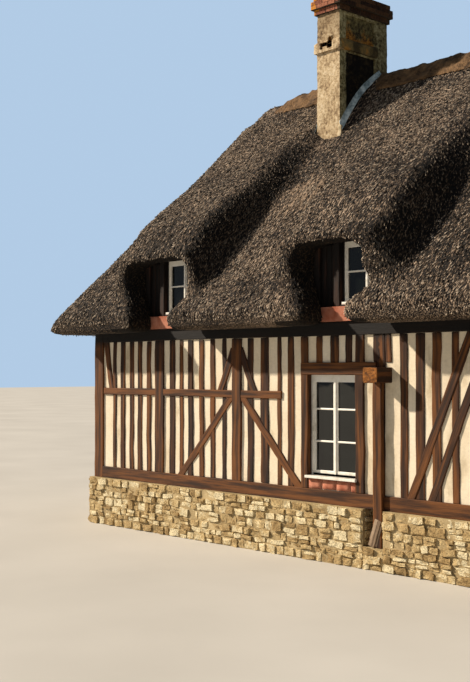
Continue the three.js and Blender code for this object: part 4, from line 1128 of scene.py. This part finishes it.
def dormer_front(i, center):
    left, right = center - DORMER_HALF, center + DORMER_HALF
    far_left = left - DORMER_POST - SIDE_BOARDS
    posts = [(left - 0.075, 0.090, 0.020, 0.45), (left - 0.015, 0.030, -0.040, 0.0),
             (right + DORMER_POST / 2, DORMER_POST, 0.020, 0.9),
             (far_left + OUTER_POST / 2, OUTER_POST, 0.016, 0.2)]
    lengths = [lay_timber(FRONT, (x, APRON_TOP + 0.005), (x, HEAD_TOP - 0.03), width, proud, 0.11, tone)
               for x, width, proud, tone in posts]
    board = (SIDE_BOARDS - OUTER_POST) / BOARD_COUNT
    for count in range(BOARD_COUNT):
        x = far_left + OUTER_POST + (count + 0.5) * board
        lengths.append(lay_timber(FRONT, (x, APRON_TOP + 0.01), (x, HEAD_TOP - 0.06), board - 0.004,
                                  -0.030 - 0.004 * (count % 2), 0.05, 0.2 * oak_rng.random()))
    for bottom, top in ((DORMER_HEAD, HEAD_TOP - 0.002), (APRON_TOP, DORMER_SILL)):
        level = (bottom + top) / 2
        lengths.append(lay_timber(FRONT, (left - DORMER_POST, level), (right + DORMER_POST, level),
                                  top - bottom, 0.012, 0.11, oak_rng.random()))
    dormer = ease(join(lengths, "dormer"), 0.006)
    roughen(dormer, 0.3, 0.010, "X")
    roughen(dormer, 0.1, 0.005)
    finish(dormer, f"dormer_{i}_timbers", "timber", oak_in_painted_shade, f"dormer_{i}_frame")


for i, center in zip(DORMERS, DORMER_CENTERS):
    dormer_front(i, center)

# Fired clay under a thin lime render, rubbed smooth: a dusty orange-red that pales in patches of
# 150 mm, with grit of 6 mm
terracotta = sandy("terracotta render over tile", "#955039", "#bf846c", 0.006, 0.15)
for i in DORMERS:
    apron = ease(merge(copy_piece(nodes[f"dormer_{i}_apron"], "apron")), 0.014, 3)
    finish(apron, f"dormer_{i}_apron_render", "terracotta", terracotta, f"dormer_{i}_apron")

# Wrought iron, hammered and blacked: nearly black, with rust in spots of 20 mm
blacked_iron = drifting("wrought iron, blacked", 0.02, ROUGH,
                        [(0.45, "#1b1a19"), (0.62, "#2e2824"), (0.75, "#5a3320")], 0.5, 0.002,
                        Metallic=0.7, Roughness=0.55)

# Plank door, with ledges behind, and wrought iron strap hinges and a ring
DOOR_FACE = low("front_door", "Y") + WALL_HALF_WIDTH
DOOR_BACK = high("front_door", "Y") + WALL_HALF_WIDTH
PLANK_COUNT = 7
PLANK_DEPTH = 0.032
DOOR_LEDGE = 0.14
LEDGE_SHORT_OF_JAMB = 0.03
HINGE_HEIGHTS = (FRONT_DOOR[2] + 0.25, FRONT_DOOR[3] - 0.25)
RING_HEIGHT = 1.05


def plank_door():
    left, right, bottom, top = FRONT_DOOR
    plank = (right - left - 0.004) / PLANK_COUNT
    lengths = []
    for count in range(PLANK_COUNT):
        x = left + 0.002 + (count + 0.5) * plank
        lengths.append(lay_timber(FRONT, (x, bottom + 0.004), (x, top - 0.004), plank - 0.003,
                                  -DOOR_FACE, PLANK_DEPTH, oak_rng.random()))
    behind = -DOOR_FACE - PLANK_DEPTH + 0.001
    start, end = left + LEDGE_SHORT_OF_JAMB, right - LEDGE_SHORT_OF_JAMB
    for level in (HINGE_HEIGHTS[0], (bottom + top) / 2, HINGE_HEIGHTS[1]):
        lengths.append(lay_timber(FRONT, (start, level), (end, level), DOOR_LEDGE, behind,
                                  DOOR_BACK + behind, oak_rng.random()))
    door = ease(join(lengths, "door"), 0.004)
    roughen(door, 0.12, 0.003)
    finish(door, "front_door_planks", "boards", weathered_oak, "front_door")


def door_ironwork():
    left, right = FRONT_DOOR[:2]
    near, far = DOOR_FACE - 0.006, DOOR_FACE + 0.002
    iron = [ease(squared(left + 0.03, left + 0.62, near, far, level - 0.022, level + 0.022), 0.003, 3)
            for level in HINGE_HEIGHTS]
    ring = primitive(bpy.ops.mesh.primitive_torus_add, major_radius=0.045, minor_radius=0.006,
                     major_segments=32, minor_segments=10)
    ring.data.transform(Matrix.Translation((right - 0.09, DOOR_FACE - 0.010, RING_HEIGHT)) @ UPRIGHT)
    plate = squared(right - 0.115, right - 0.065, DOOR_FACE - 0.014, far, RING_HEIGHT, RING_HEIGHT + 0.08)
    ironwork = join([*iron, ring, ease(plate, 0.004, 3)], "iron")
    ironwork.data.transform(FRONT)
    finish(ironwork, "front_door_ironwork", "lead", blacked_iron)


plank_door()
door_ironwork()


# Oak sawn across and left to the sun: orange-brown end grain between dark drying checks, which
# are 3 mm wide in life and are drawn at 6 mm so that they show.
def end_grain():
    material, tree = start_material("oak end grain", Roughness=0.8, Specular_IOR_Level=0.25)
    figure = add(tree, "ShaderNodeTexNoise", ROUGH, {"Vector": object_space(tree, (0.05, 0.05, 0.03))})
    color = add(tree, "ShaderNodeValToRGB", {}, {"Fac": figure},
                [(0.34, "#4a2a0c"), (0.50, "#7d4b14"), (0.68, "#a0662a")])
    checks = add(tree, "ShaderNodeTexNoise", PLAIN,
                 {"Vector": object_space(tree, (0.006, 0.05, 0.05), (0, math.radians(35), 0))})
    crack = add(tree, "ShaderNodeMapRange", {"From Min": 0.32, "From Max": 0.42, "To Min": 0.45},
                {"Value": checks})
    final = add(tree, "ShaderNodeMixRGB", {**DARKEN, "Fac": 0.9}, {"Color1": color, "Color2": crack})
    return dress(material, final, crack, 0.7, 0.008)


def projecting_beam():
    """The middle ceiling beam. The adze left broad shallow scallops on it."""
    node = "middle_beam"
    place = Matrix.Translation((high(node, "X"), 0, 0)) @ Matrix.Rotation(math.radians(90), 4, "Z")
    level = middle(node, "Z")
    beam = lay_timber(place, (low(node, "Y"), level), (high(node, "Y"), level),
                      high(node, "Z") - low(node, "Z"), 0, high(node, "X") - low(node, "X"), 0.15)
    with editing(beam, faces=lambda centre, normal: abs(normal.y) > 0.9):
        bpy.ops.mesh.subdivide(number_cuts=7)
    ease(beam, 0.010, 3)
    roughen(beam, 0.25, 0.014)
    roughen(beam, 0.05, 0.007)
    finish(beam, "middle_beam_hewn", "timber", weathered_oak, node)
    beam.data.materials.append(end_grain())
    for face in beam.data.polygons:
        face.material_index = 1 if face.normal.y < -0.7 else 0


def leaning_post():
    """The post under the beam's end, bent as it grew."""
    node = "beam_post"
    place = Matrix.Translation((0, low(node, "Y"), 0))
    x = middle(node, "X")
    post = lay_timber(place, (x, low(node, "Z")), (x, high(node, "Z")), high(node, "X") - low(node, "X"), 0,
                      high(node, "Y") - low(node, "Y"), 0.8)
    ease(post, 0.009)
    roughen(post, 0.5, 0.030, "X")
    roughen(post, 0.09, 0.010)
    finish(post, "beam_post_hewn", "timber", weathered_oak, node)


def niche_offcut():
    """Two sawn ends that lean in the niche beside the post."""
    foot = NICHE[2] + 0.014
    offcut = join([
        lay_timber(FRONT, (0.165, foot), (0.275, NICHE[2] + 0.33), 0.095, PLINTH_FACE + 0.012, 0.032, 0.5),
        lay_timber(FRONT, (0.235, foot), (0.312, NICHE[2] + 0.27), 0.050, PLINTH_FACE + 0.004, 0.028, 0.2),
    ], "offcut")
    ease(offcut, 0.006)
    roughen(offcut, 0.08, 0.016)
    finish(offcut, "niche_offcut", "timber", bleached_oak)


projecting_beam()
leaning_post()
niche_offcut()
for node in ("left_beam", "right_beam", "roof_frame"):
    repaint(node, oak_across)


# Chimney: a shaft of rendered brick with a ledge, a panel sunk into each long side above and
# below it, and an open flue
STACK_LEFT, STACK_RIGHT = -2.66, -2.21
STACK_FRONT, STACK_BACK = -0.95, 0.14
STACK_TOP = high("chimney_stack", "Z")
STACK_SHOWS = 5.0
LEDGE = (7.08, 7.25)
LEDGE_PROUD = 0.034
LEDGE_SHORT_OF_BACK = 0.26
FLUE = (-2.545, -2.325, -0.835, 0.025)
RENDER_CELL = 0.035
PANEL_MARGINS = (0.125, 0.29)
PANEL_DEPTH = 0.026
PANELS = ((5.2, LEDGE[0] - 0.01), (LEDGE[1], STACK_TOP - 0.03))


# Worn lime render, thrown on and rubbed by the weather, so no patch of it is even. It is cream
# and sooty on the sunny sides. On the side away from the sun it is damp, nearly black in the
# lower panel, grown over with moss and rust-coloured lichen in the upper one, and darker towards
# the back. Patches are 220 mm across, mottling 50 mm, and pits 18 mm.
def worn_render():
    material, tree = start_material("worn lime render", Roughness=0.93, Specular_IOR_Level=0.2)
    spot = spot_on(tree)
    patches = add(tree, "ShaderNodeTexNoise", RAGGED, {"Vector": object_space(tree, 0.22)})
    mottle = add(tree, "ShaderNodeTexNoise", CRUMBLY, {"Vector": object_space(tree, 0.05)})
    pits = add(tree, "ShaderNodeTexNoise", GRITTY, {"Vector": object_space(tree, 0.018)})
    worn = add(tree, "ShaderNodeMath", {"operation": "MULTIPLY_ADD", 1: 0.6}, {0: patches, 2: mottle})
    in_panel, on_ledge, lee_side = (
        add(tree, "ShaderNodeAttribute", {"attribute_name": name}).outputs["Fac"]
        for name in ("sunk", "ledge", "away"))

    sunny = add(tree, "ShaderNodeValToRGB", {}, {"Fac": worn},
                [(0.58, "#655340"), (0.72, "#a48d6d"), (0.84, "#c9b491"), (0.98, "#dccbad")])
    height = add(tree, "ShaderNodeMapRange", {"From Min": LEDGE[0], "From Max": STACK_TOP, "To Max": 0.7},
                 {"Value": spot["Z"]})
    sooty = add(tree, "ShaderNodeMixRGB", {"blend_type": "MULTIPLY", "Color2": srgb("#978d82")},
                {"Color1": sunny, "Fac": height})

    damp = add(tree, "ShaderNodeValToRGB", {}, {"Fac": worn},
               [(0.62, "#362f1c"), (0.78, "#857c57"), (0.94, "#b3ad85")])
    # Nearly black, in the lower sunk panel on the side away from the sun.
    black_low_panel = add(tree, "ShaderNodeValToRGB", {}, {"Fac": worn},
               [(0.68, "#070503"), (0.82, "#1b150d"), (0.98, "#40351f")])
    mossy = add(tree, "ShaderNodeValToRGB", {}, {"Fac": worn},
                [(0.62, "#1f190f"), (0.80, "#625a38"), (0.95, "#888157")])
    rusty = add(tree, "ShaderNodeValToRGB", {}, {"Fac": mottle},
                [(0.36, "#30200c"), (0.52, "#976526"), (0.66, "#c08a3a")])
    low_part = add(tree, "ShaderNodeMapRange", {"From Min": LEDGE[1], "From Max": STACK_TOP - 0.10,
                                                "To Min": 0.16, "To Max": -0.10}, {"Value": spot["Z"]})
    growth = add(tree, "ShaderNodeMath", {"operation": "ADD"}, {0: patches, 1: low_part})
    grown = add(tree, "ShaderNodeMapRange", {"From Min": 0.47, "From Max": 0.59}, {"Value": growth})
    lichen = add(tree, "ShaderNodeMixRGB", {}, {"Fac": grown, "Color1": mossy, "Color2": rusty})
    over_ledge = add(tree, "ShaderNodeMapRange", {"From Min": LEDGE[0], "From Max": LEDGE[1]},
                     {"Value": spot["Z"]})
    sunk = add(tree, "ShaderNodeMixRGB", {}, {"Fac": over_ledge, "Color1": black_low_panel, "Color2": lichen})
    shady = add(tree, "ShaderNodeMixRGB", {}, {"Fac": in_panel, "Color1": damp, "Color2": sunk})

    sunward = add(tree, "ShaderNodeMapRange", {"From Min": STACK_FRONT, "From Max": STACK_FRONT + 0.40,
                                               "To Min": 0.10, "To Max": -0.06}, {"Value": spot["Y"]})
    crust = add(tree, "ShaderNodeMath", {"operation": "ADD"}, {0: patches, 1: sunward})
    brown = add(tree, "ShaderNodeValToRGB", {}, {"Fac": crust},
                [(0.40, "#443a22"), (0.55, "#7c6b42"), (0.66, "#b68138")])
    lee = add(tree, "ShaderNodeMixRGB", {}, {"Fac": on_ledge, "Color1": shady, "Color2": brown})
    # The side away from the sun is darkened towards the back, to about half.
    rearward = add(tree, "ShaderNodeMapRange", {"From Min": STACK_FRONT, "From Max": STACK_BACK,
                                                "To Min": 1.0, "To Max": 0.48}, {"Value": spot["Y"]})
    darker_to_back = add(tree, "ShaderNodeMixRGB", DARKEN, {"Color1": lee, "Color2": rearward})

    both = add(tree, "ShaderNodeMixRGB", {}, {"Fac": lee_side, "Color1": sooty, "Color2": darker_to_back})
    dark = add(tree, "ShaderNodeMapRange", {"From Min": 0.34, "From Max": 0.50, "To Min": 0.62},
               {"Value": pits})
    final = add(tree, "ShaderNodeMixRGB", {**DARKEN, "Fac": 0.8}, {"Color1": both, "Color2": dark})
    return dress(material, final, worn, 0.9, 0.010)


def carve(piece, box):
    """Cuts a squared hollow out of the piece."""
    cutter = ease(squared(*box), 0.006, 3)
    apply(piece, "BOOLEAN", operation="DIFFERENCE", object=cutter, solver="EXACT")
    remove([cutter])


def rendered_block(bottom, top, proud, back, panels=()):
    """A stretch of the stack, cut into cells so that it can be worn. Each panel, given by its
    levels, is sunk into both long sides."""
    left, right, front = STACK_LEFT - proud, STACK_RIGHT + proud, STACK_FRONT - proud
    block = squared(left, right, front, back, bottom, top)
    for axis, length in enumerate((right - left, back - front, top - bottom)):
        with editing(block, edges=lambda centre, way: abs(way[axis]) > 0.9):
            bpy.ops.mesh.subdivide(number_cuts=round(length / RENDER_CELL) - 1)
    for foot, head in panels:
        with editing(block, faces=lambda centre, normal: abs(normal.x) > 0.9 and foot < centre.z < head
                     and STACK_FRONT + PANEL_MARGINS[0] < centre.y < STACK_BACK - PANEL_MARGINS[1]):
            bpy.ops.mesh.inset(thickness=0.006, depth=-PANEL_DEPTH)
    return block


def chimney():
    lower = merge(copy_piece(nodes["chimney_stack"], "lower stack"))
    keep_side(lower, (0, 0, STACK_SHOWS), (0, 0, 1))
    shaft = rendered_block(STACK_SHOWS, STACK_TOP, 0, STACK_BACK, PANELS)
    ledge = rendered_block(*LEDGE, LEDGE_PROUD, STACK_BACK - LEDGE_SHORT_OF_BACK)
    with editing(ledge, faces=lambda centre, normal: normal.z > 0.9):
        bpy.ops.transform.resize(value=(0.87, 0.93, 1))
    recess = (STACK_FRONT - 0.2, STACK_FRONT + 0.06)
    for block in (shaft, ledge):
        roughen(block, 0.30, 0.014)
        roughen(block, 0.06, 0.014)
        carve(block, (*FLUE, STACK_SHOWS - 0.1, STACK_TOP + 0.1))
        carve(block, (STACK_LEFT + 0.10, STACK_LEFT + 0.31, *recess, LEDGE[0] + 0.04, LEDGE[0] + 0.14))
        carve(block, (STACK_LEFT + 0.23, STACK_LEFT + 0.33, *recess, LEDGE[0] + 0.05, LEDGE[1] + 0.05))
    stone = ease(squared(STACK_LEFT + 0.11, STACK_LEFT + 0.22, STACK_FRONT - 0.020, STACK_FRONT + 0.05,
                         LEDGE[0] + 0.03, LEDGE[0] + 0.085), 0.010, 3)
    stack = join([shaft, ledge, stone, lower], "stack")
    mark_faces(stack, "away", lambda centre, normal: normal.x > 0.4
               or (centre.x > STACK_RIGHT - 0.04 and STACK_FRONT + 0.06 < centre.y < STACK_BACK - 0.06))
    mark_faces(stack, "ledge", lambda centre, normal: centre.x > STACK_RIGHT + 0.004
               and LEDGE[0] - 0.02 < centre.z < LEDGE[1] + 0.02 and centre.y > STACK_FRONT)
    mark_faces(stack, "sunk", lambda centre, normal: normal.x > 0.4 and centre.x < STACK_RIGHT - 0.015)
    smooth_faces(stack)
    finish(stack, "chimney_render", "render", worn_render(), "chimney_stack")


chimney()


# Soft red brick, moulded by hand: each brick has its own tone, with sandy grit of 30 mm, orange
# lichen in blots of 200 mm on the weather side, and a darker green-grey on the lee side, partly a
# film and partly painted shade.
def soft_brick():
    material, tree = start_material("soft red brick", Roughness=0.9, Specular_IOR_Level=0.2)
    spot = spot_on(tree)
    tone = add(tree, "ShaderNodeAttribute", {"attribute_name": "tone"})
    sand = add(tree, "ShaderNodeTexNoise", CRUMBLY, {"Vector": object_space(tree, 0.03)})
    mixed = add(tree, "ShaderNodeMath", {"operation": "MULTIPLY_ADD", 1: 0.35},
                {0: tone.outputs["Fac"], 2: sand})
    red = add(tree, "ShaderNodeValToRGB", {}, {"Fac": mixed},
              [(0.40, "#26130c"), (0.62, "#703f30"), (0.85, "#ad7459")])
    blots = add(tree, "ShaderNodeTexNoise", ROUGH, {"Vector": object_space(tree, 0.2)})
    weather_side = add(tree, "ShaderNodeMapRange",
                       {"From Min": STACK_LEFT - 0.06, "From Max": STACK_LEFT + 0.25,
                        "To Min": 0.16, "To Max": -0.04}, {"Value": spot["X"]})
    thinning = add(tree, "ShaderNodeMapRange", {"From Min": STACK_FRONT, "From Max": STACK_FRONT + 0.5,
                                                "To Min": 0.0, "To Max": -0.11}, {"Value": spot["Y"]})
    share = add(tree, "ShaderNodeMath", {"operation": "ADD"}, {0: weather_side, 1: thinning})
    growth = add(tree, "ShaderNodeMath", {"operation": "ADD"}, {0: blots, 1: share})
    lichen = add(tree, "ShaderNodeMapRange", {"From Min": 0.60, "From Max": 0.66, "To Max": 0.85},
                 {"Value": growth})
    grown = add(tree, "ShaderNodeMixRGB", {"Color2": srgb("#cf8a22")}, {"Color1": red, "Fac": lichen})
    # Painted shade, with a green-grey film: the lee side is multiplied darker and greyer.
    lee_side = add(tree, "ShaderNodeMapRange",
                   {"From Min": STACK_RIGHT + 0.010, "From Max": STACK_RIGHT + 0.030}, {"Value": spot["X"]})
    final = add(tree, "ShaderNodeMixRGB", {"blend_type": "MULTIPLY", "Color2": srgb("#77806a")},
                {"Color1": grown, "Fac": lee_side})
    return dress(material, final, sand, 0.7, 0.004)


BRICK_LENGTH = 0.235
BRICK_DEPTH = 0.105
BRICK_JOINT = 0.007
COURSE_OVERLAP = 0.004
# Foot, head and reach of each course of the cap
CAP_COURSES = [(7.660, 7.745, 0.030), (7.745, 7.805, 0.065), (7.805, 7.865, 0.065), (7.865, 7.950, 0.035)]


def brick_row(place, left, right, bottom, top, shapes, rng, proud, start=0.0):
    """One course on one face. The first brick is cut by start, so that joints don't line up."""
    bricks = []
    spot = left
    width = BRICK_LENGTH * (1 - start)
    while spot < right - 0.02:
        width = min(width, right - spot)
        brick = copy_piece(rng.choice(shapes), "brick")
        tint(brick.data, rng.random())
        centre = (spot + width / 2, BRICK_DEPTH / 2 - proud + rng.uniform(-0.002, 0.002), (bottom + top) / 2)
        size = (width - BRICK_JOINT, BRICK_DEPTH, top - bottom - 0.008)
        brick.data.transform(place @ Matrix.LocRotScale(centre, None, size))
        bricks.append(brick)
        spot += width
        width = BRICK_LENGTH
    return bricks


def cap_bricks(shapes, rng):
    bricks = []
    centre = ((STACK_LEFT + STACK_RIGHT) / 2, (STACK_FRONT + STACK_BACK) / 2, 0)
    for row, (bottom, top, reach) in enumerate(CAP_COURSES):
        half_x = (STACK_RIGHT - STACK_LEFT) / 2 + reach
        half_y = (STACK_BACK - STACK_FRONT) / 2 + reach
        for quarter in range(4):
            half, away = (half_x, half_y) if quarter % 2 == 0 else (half_y, half_x)
            place = (Matrix.Translation(centre) @ Matrix.Rotation(quarter * math.pi / 2, 4, "Z")
                     @ Matrix.Translation((0, -away, 0)))
            bricks += brick_row(place, -half - 0.006, half + 0.006 - BRICK_DEPTH, bottom,
                                top + COURSE_OVERLAP, shapes, rng, 0.006, 0.5 * (row % 2))
    return bricks


def brickwork():
    """The chimney's cap, and the course of tiles that the front window stands on."""
    rng = random.Random(3)
    shapes = worn_shapes(4, rng, 0.08, 0.05)
    cap = join(cap_bricks(shapes, rng), "cap")
    smooth_faces(cap)
    finish(cap, "chimney_cap_bricks", "brick", soft_brick())
    tiles = join(brick_row(FRONT, FRONT_WINDOW[0] - 0.001, FRONT_WINDOW[1] + 0.001, SILL_TOP, WINDOW[2],
                           shapes, rng, 0.018), "tiles")
    tiles.data.shade_smooth()
    finish(tiles, "front_window_tile_course", "terracotta", terracotta)
    remove(shapes)
    # Lime mortar between the bricks, blackened by the smoke
    repaint("chimney_cap", sandy("sooty lime mortar", "#17120d", "#3f3428"))


brickwork()


# Lead sheet, dressed by hand and left to weather: dull and pale blue-grey, with a white bloom in
# clouds of 120 mm and the dents of the dressing
lead = drifting("weathered lead sheet", 0.12, RAGGED,
                [(0.36, "#6a7b7d"), (0.50, "#a6b6b8"), (0.64, "#dce4e2")], 0.5, 0.006,
                Metallic=0.35, Roughness=0.6)

# Flashing up both sides of the stack, over reed that is banked against it
FLASHING_RISE = 0.13
FLASHING_TAPER = 0.45
FLASHING_FOOT = 0.07
FLASHING_BULGE = 0.14
FLASHING_FRONT = STACK_FRONT - 0.012
FLASHING_LENGTH = 0.912
BANK_REACH = 0.30
RIDGE_COVER = 0.10


def slope_height(y):
    return EAVE_TOP + (ROOF_HALF_WIDTH - abs(y)) * MAIN_PITCH


def banked_height(along):
    """The banked reed's place and height at the stack, from the flashing's foot to the ridge."""
    y = FLASHING_FRONT + along * FLASHING_LENGTH
    lift = (FLASHING_FOOT * (1 - along) + FLASHING_BULGE * math.sin(math.pi * along)
            + RIDGE_COVER * along ** 3)
    return y, slope_height(y) + lift


def reed_bank(face, sign):
    """Reed packed under the flashing, falling away to the slope."""
    bank = primitive(bpy.ops.mesh.primitive_grid_add, x_subdivisions=24, y_subdivisions=8, size=1)
    for vertex in bank.data.vertices:
        along, away = vertex.co.x + 0.5, vertex.co.y + 0.5
        y, top = banked_height(along)
        fall = (1 - away) ** 2
        height = slope_height(y) + (top - slope_height(y) + 0.03) * fall - 0.05 * away
        vertex.co = (face + sign * (BANK_REACH * away - 0.01), y, height)
    roughen(bank, 0.10, 0.02, "Z")
    apply(bank, "SOLIDIFY", thickness=0.03, offset=sign)
    bank.data.shade_smooth()
    return bank


def flashing_strip(face, sign):
    """A strip dressed up one side of the stack. It narrows towards the ridge, and its foot lies
    out over the reed."""
    strip = primitive(bpy.ops.mesh.primitive_grid_add, x_subdivisions=18, y_subdivisions=4, size=1)
    for vertex in strip.data.vertices:
        along, up = vertex.co.x + 0.5, vertex.co.y + 0.5
        y, foot = banked_height(along)
        rise = FLASHING_RISE * (1 - FLASHING_TAPER * along)
        vertex.co = (face + sign * (0.006 + 0.055 * (1 - up) ** 2), y, foot + up * rise)
    roughen(strip, 0.12, 0.012, "X")
    roughen(strip, 0.15, 0.020, "Z")
    return apply(strip, "SOLIDIFY", thickness=0.005)


def stack_foot():
    """Flashing and banked reed on both sides of the stack, and a lump of mortar at its front."""
    sides = ((STACK_RIGHT, 1), (STACK_LEFT, -1))
    flashing = join([flashing_strip(*side) for side in sides], "flashing")
    smooth_faces(flashing)
    finish(flashing, "chimney_flashing_sheet", "lead", lead, "chimney_flashing")
    banks = join([reed_bank(*side) for side in sides], "banks")
    finish(banks, "chimney_reed_banks", "thatch", reed_faces["front"])
    foot = slope_height(STACK_FRONT)
    fillet = ease(squared(STACK_RIGHT - 0.03, STACK_RIGHT + 0.05, STACK_FRONT - 0.022, STACK_FRONT + 0.06,
                          foot - 0.05, foot + 0.13), 0.012, 3)
    apply(fillet, "REMESH", mode="VOXEL", voxel_size=0.014)
    roughen(fillet, 0.08, 0.04)
    roughen(fillet, 0.03, 0.014)
    fillet.data.shade_smooth()
    # Lime mortar, thrown on later than the render and still pale
    finish(fillet, "chimney_mortar_fillet", "render", sandy("fresh lime mortar", "#a39270", "#d8cab0"))


stack_foot()


# Ridge of raw clay, pressed down by hand over the reed and dried: brown, dusty clods of 150 mm,
# cracked at 30 mm. Its free ends sink into the reed.
CLAY_SINKS = 0.13
CLAY_FADES = 0.6
RIDGE_ENDS = {"left": (-1, low("left_ridge_clay", "X")), "right": (1, high("right_ridge_clay", "X"))}
ridge_clay = sandy("weathered ridge clay", "#2f2318", "#86694a", 0.03, 0.15, 0.03)
for side, (outward, end) in RIDGE_ENDS.items():
    ridge = merge(copy_piece(nodes[f"{side}_ridge_clay"], "ridge"))
    apply(ridge, "REMESH", mode="VOXEL", voxel_size=0.042)
    apply(ridge, "SMOOTH", factor=0.5, iterations=2)
    pull(ridge, lambda centre, normal: normal.x * outward > 0.6 and abs(centre.x - end) < 0.12,
         (0, 0, -CLAY_SINKS), CLAY_FADES)
    roughen(ridge, 0.45, 0.07)
    roughen(ridge, 0.13, 0.075)
    ridge.data.shade_smooth()
    finish(ridge, f"{side}_ridge_clods", "clay", ridge_clay, f"{side}_ridge_clay")


# Oak boards, sawn, 180 mm wide and worn by feet: two browns side by side, dark at the joints
def floor_boards():
    material, tree = start_material("sawn oak boards", Roughness=0.75)
    place = add(tree, "ShaderNodeTexCoord")
    joints = add(tree, "ShaderNodeTexBrick",
                 {"Scale": 1.0, "Brick Width": 3.2, "Row Height": 0.18, "Mortar Size": 0.003,
                  "Color1": srgb("#5a3a22"), "Color2": srgb("#74502f"), "Mortar": srgb("#120b06")},
                 {"Vector": place.outputs["Object"]})
    grain = add(tree, "ShaderNodeTexNoise", EVEN, {"Vector": object_space(tree, (0.45, 0.009, 0.45))})
    shade = add(tree, "ShaderNodeMapRange", {"From Min": 0.3, "From Max": 0.6, "To Min": 0.6},
                {"Value": grain})
    final = add(tree, "ShaderNodeMixRGB", DARKEN, {"Color1": joints, "Color2": shade})
    return dress(material, final, grain, 0.4, 0.003)


# Floors and the door step. Clay and lime, beaten flat and worn, is a dusty brown in broad patches
# of 600 mm, with grit of 12 mm.
repaint("ground_floor", sandy("worn clay and lime floor", "#6a5238", "#9c8160", 0.012, 0.6, 0.006))
repaint("attic_floor", floor_boards())
step = merge(copy_piece(nodes["door_step"], "step"))
apply(step, "REMESH", mode="VOXEL", voxel_size=0.025)
apply(step, "SMOOTH", factor=0.5, iterations=4)
roughen(step, 0.3, 0.012)
step.data.shade_smooth()
finish(step, "door_step_stone", "stone", rubble, "door_step")
remove([oak_blank])

# Camera at the photograph's place
FOCAL_PIXELS = 1105
IMAGE_HEIGHT = 682
camera = bpy.data.cameras.new("camera")
camera.sensor_width = 36
camera.lens = camera.sensor_width * FOCAL_PIXELS / IMAGE_HEIGHT
camera.clip_end = 200
viewpoint = bpy.data.objects.new("camera", camera)
viewpoint.location = (8.60, -13.06, 2.34)
viewpoint.rotation_euler = (math.radians(91.5), 0, math.radians(47.2))
bpy.context.scene.collection.objects.link(viewpoint)
bpy.context.scene.camera = viewpoint

# Sunlight from the left front, and a soft pale sky
key = bpy.data.lights.new("key", "SUN")
key.energy = 6.7
key.angle = 0.03
key.color = srgb("#fff0dc")[:3]
key_light = bpy.data.objects.new("key", key)
key_light.rotation_euler = Vector((1.4, 0.8, -1.0)).to_track_quat("-Z", "Y").to_euler()
bpy.context.scene.collection.objects.link(key_light)

world = bpy.data.worlds.new("studio")
world.use_nodes = True
sky_tree = world.node_tree
sky = sky_tree.nodes["Background"]
sky.inputs["Color"].default_value = srgb("#d3e1f2")
sky.inputs["Strength"].default_value = 0.24
backdrop = add(sky_tree, "ShaderNodeBackground", {"Color": srgb("#b9d3ee"), "Strength": 0.92})
seen = add(sky_tree, "ShaderNodeLightPath")
either = add(sky_tree, "ShaderNodeMixShader", {}, {0: seen.outputs["Is Camera Ray"], 1: sky, 2: backdrop})
link(sky_tree, either, sky_tree.nodes["World Output"].inputs["Surface"])
bpy.context.scene.world = world
bpy.context.scene.view_settings.view_transform = "Standard"

# Pale studio floor
studio_floor = primitive(bpy.ops.mesh.primitive_plane_add, size=240)
studio_floor.name = "studio_floor"
studio_floor.data.materials.append(drifting("pale studio floor", 2.5, EVEN,
                                            [(0.3, "#bab7b0"), (0.7, "#c5c2bb")], Roughness=0.9))
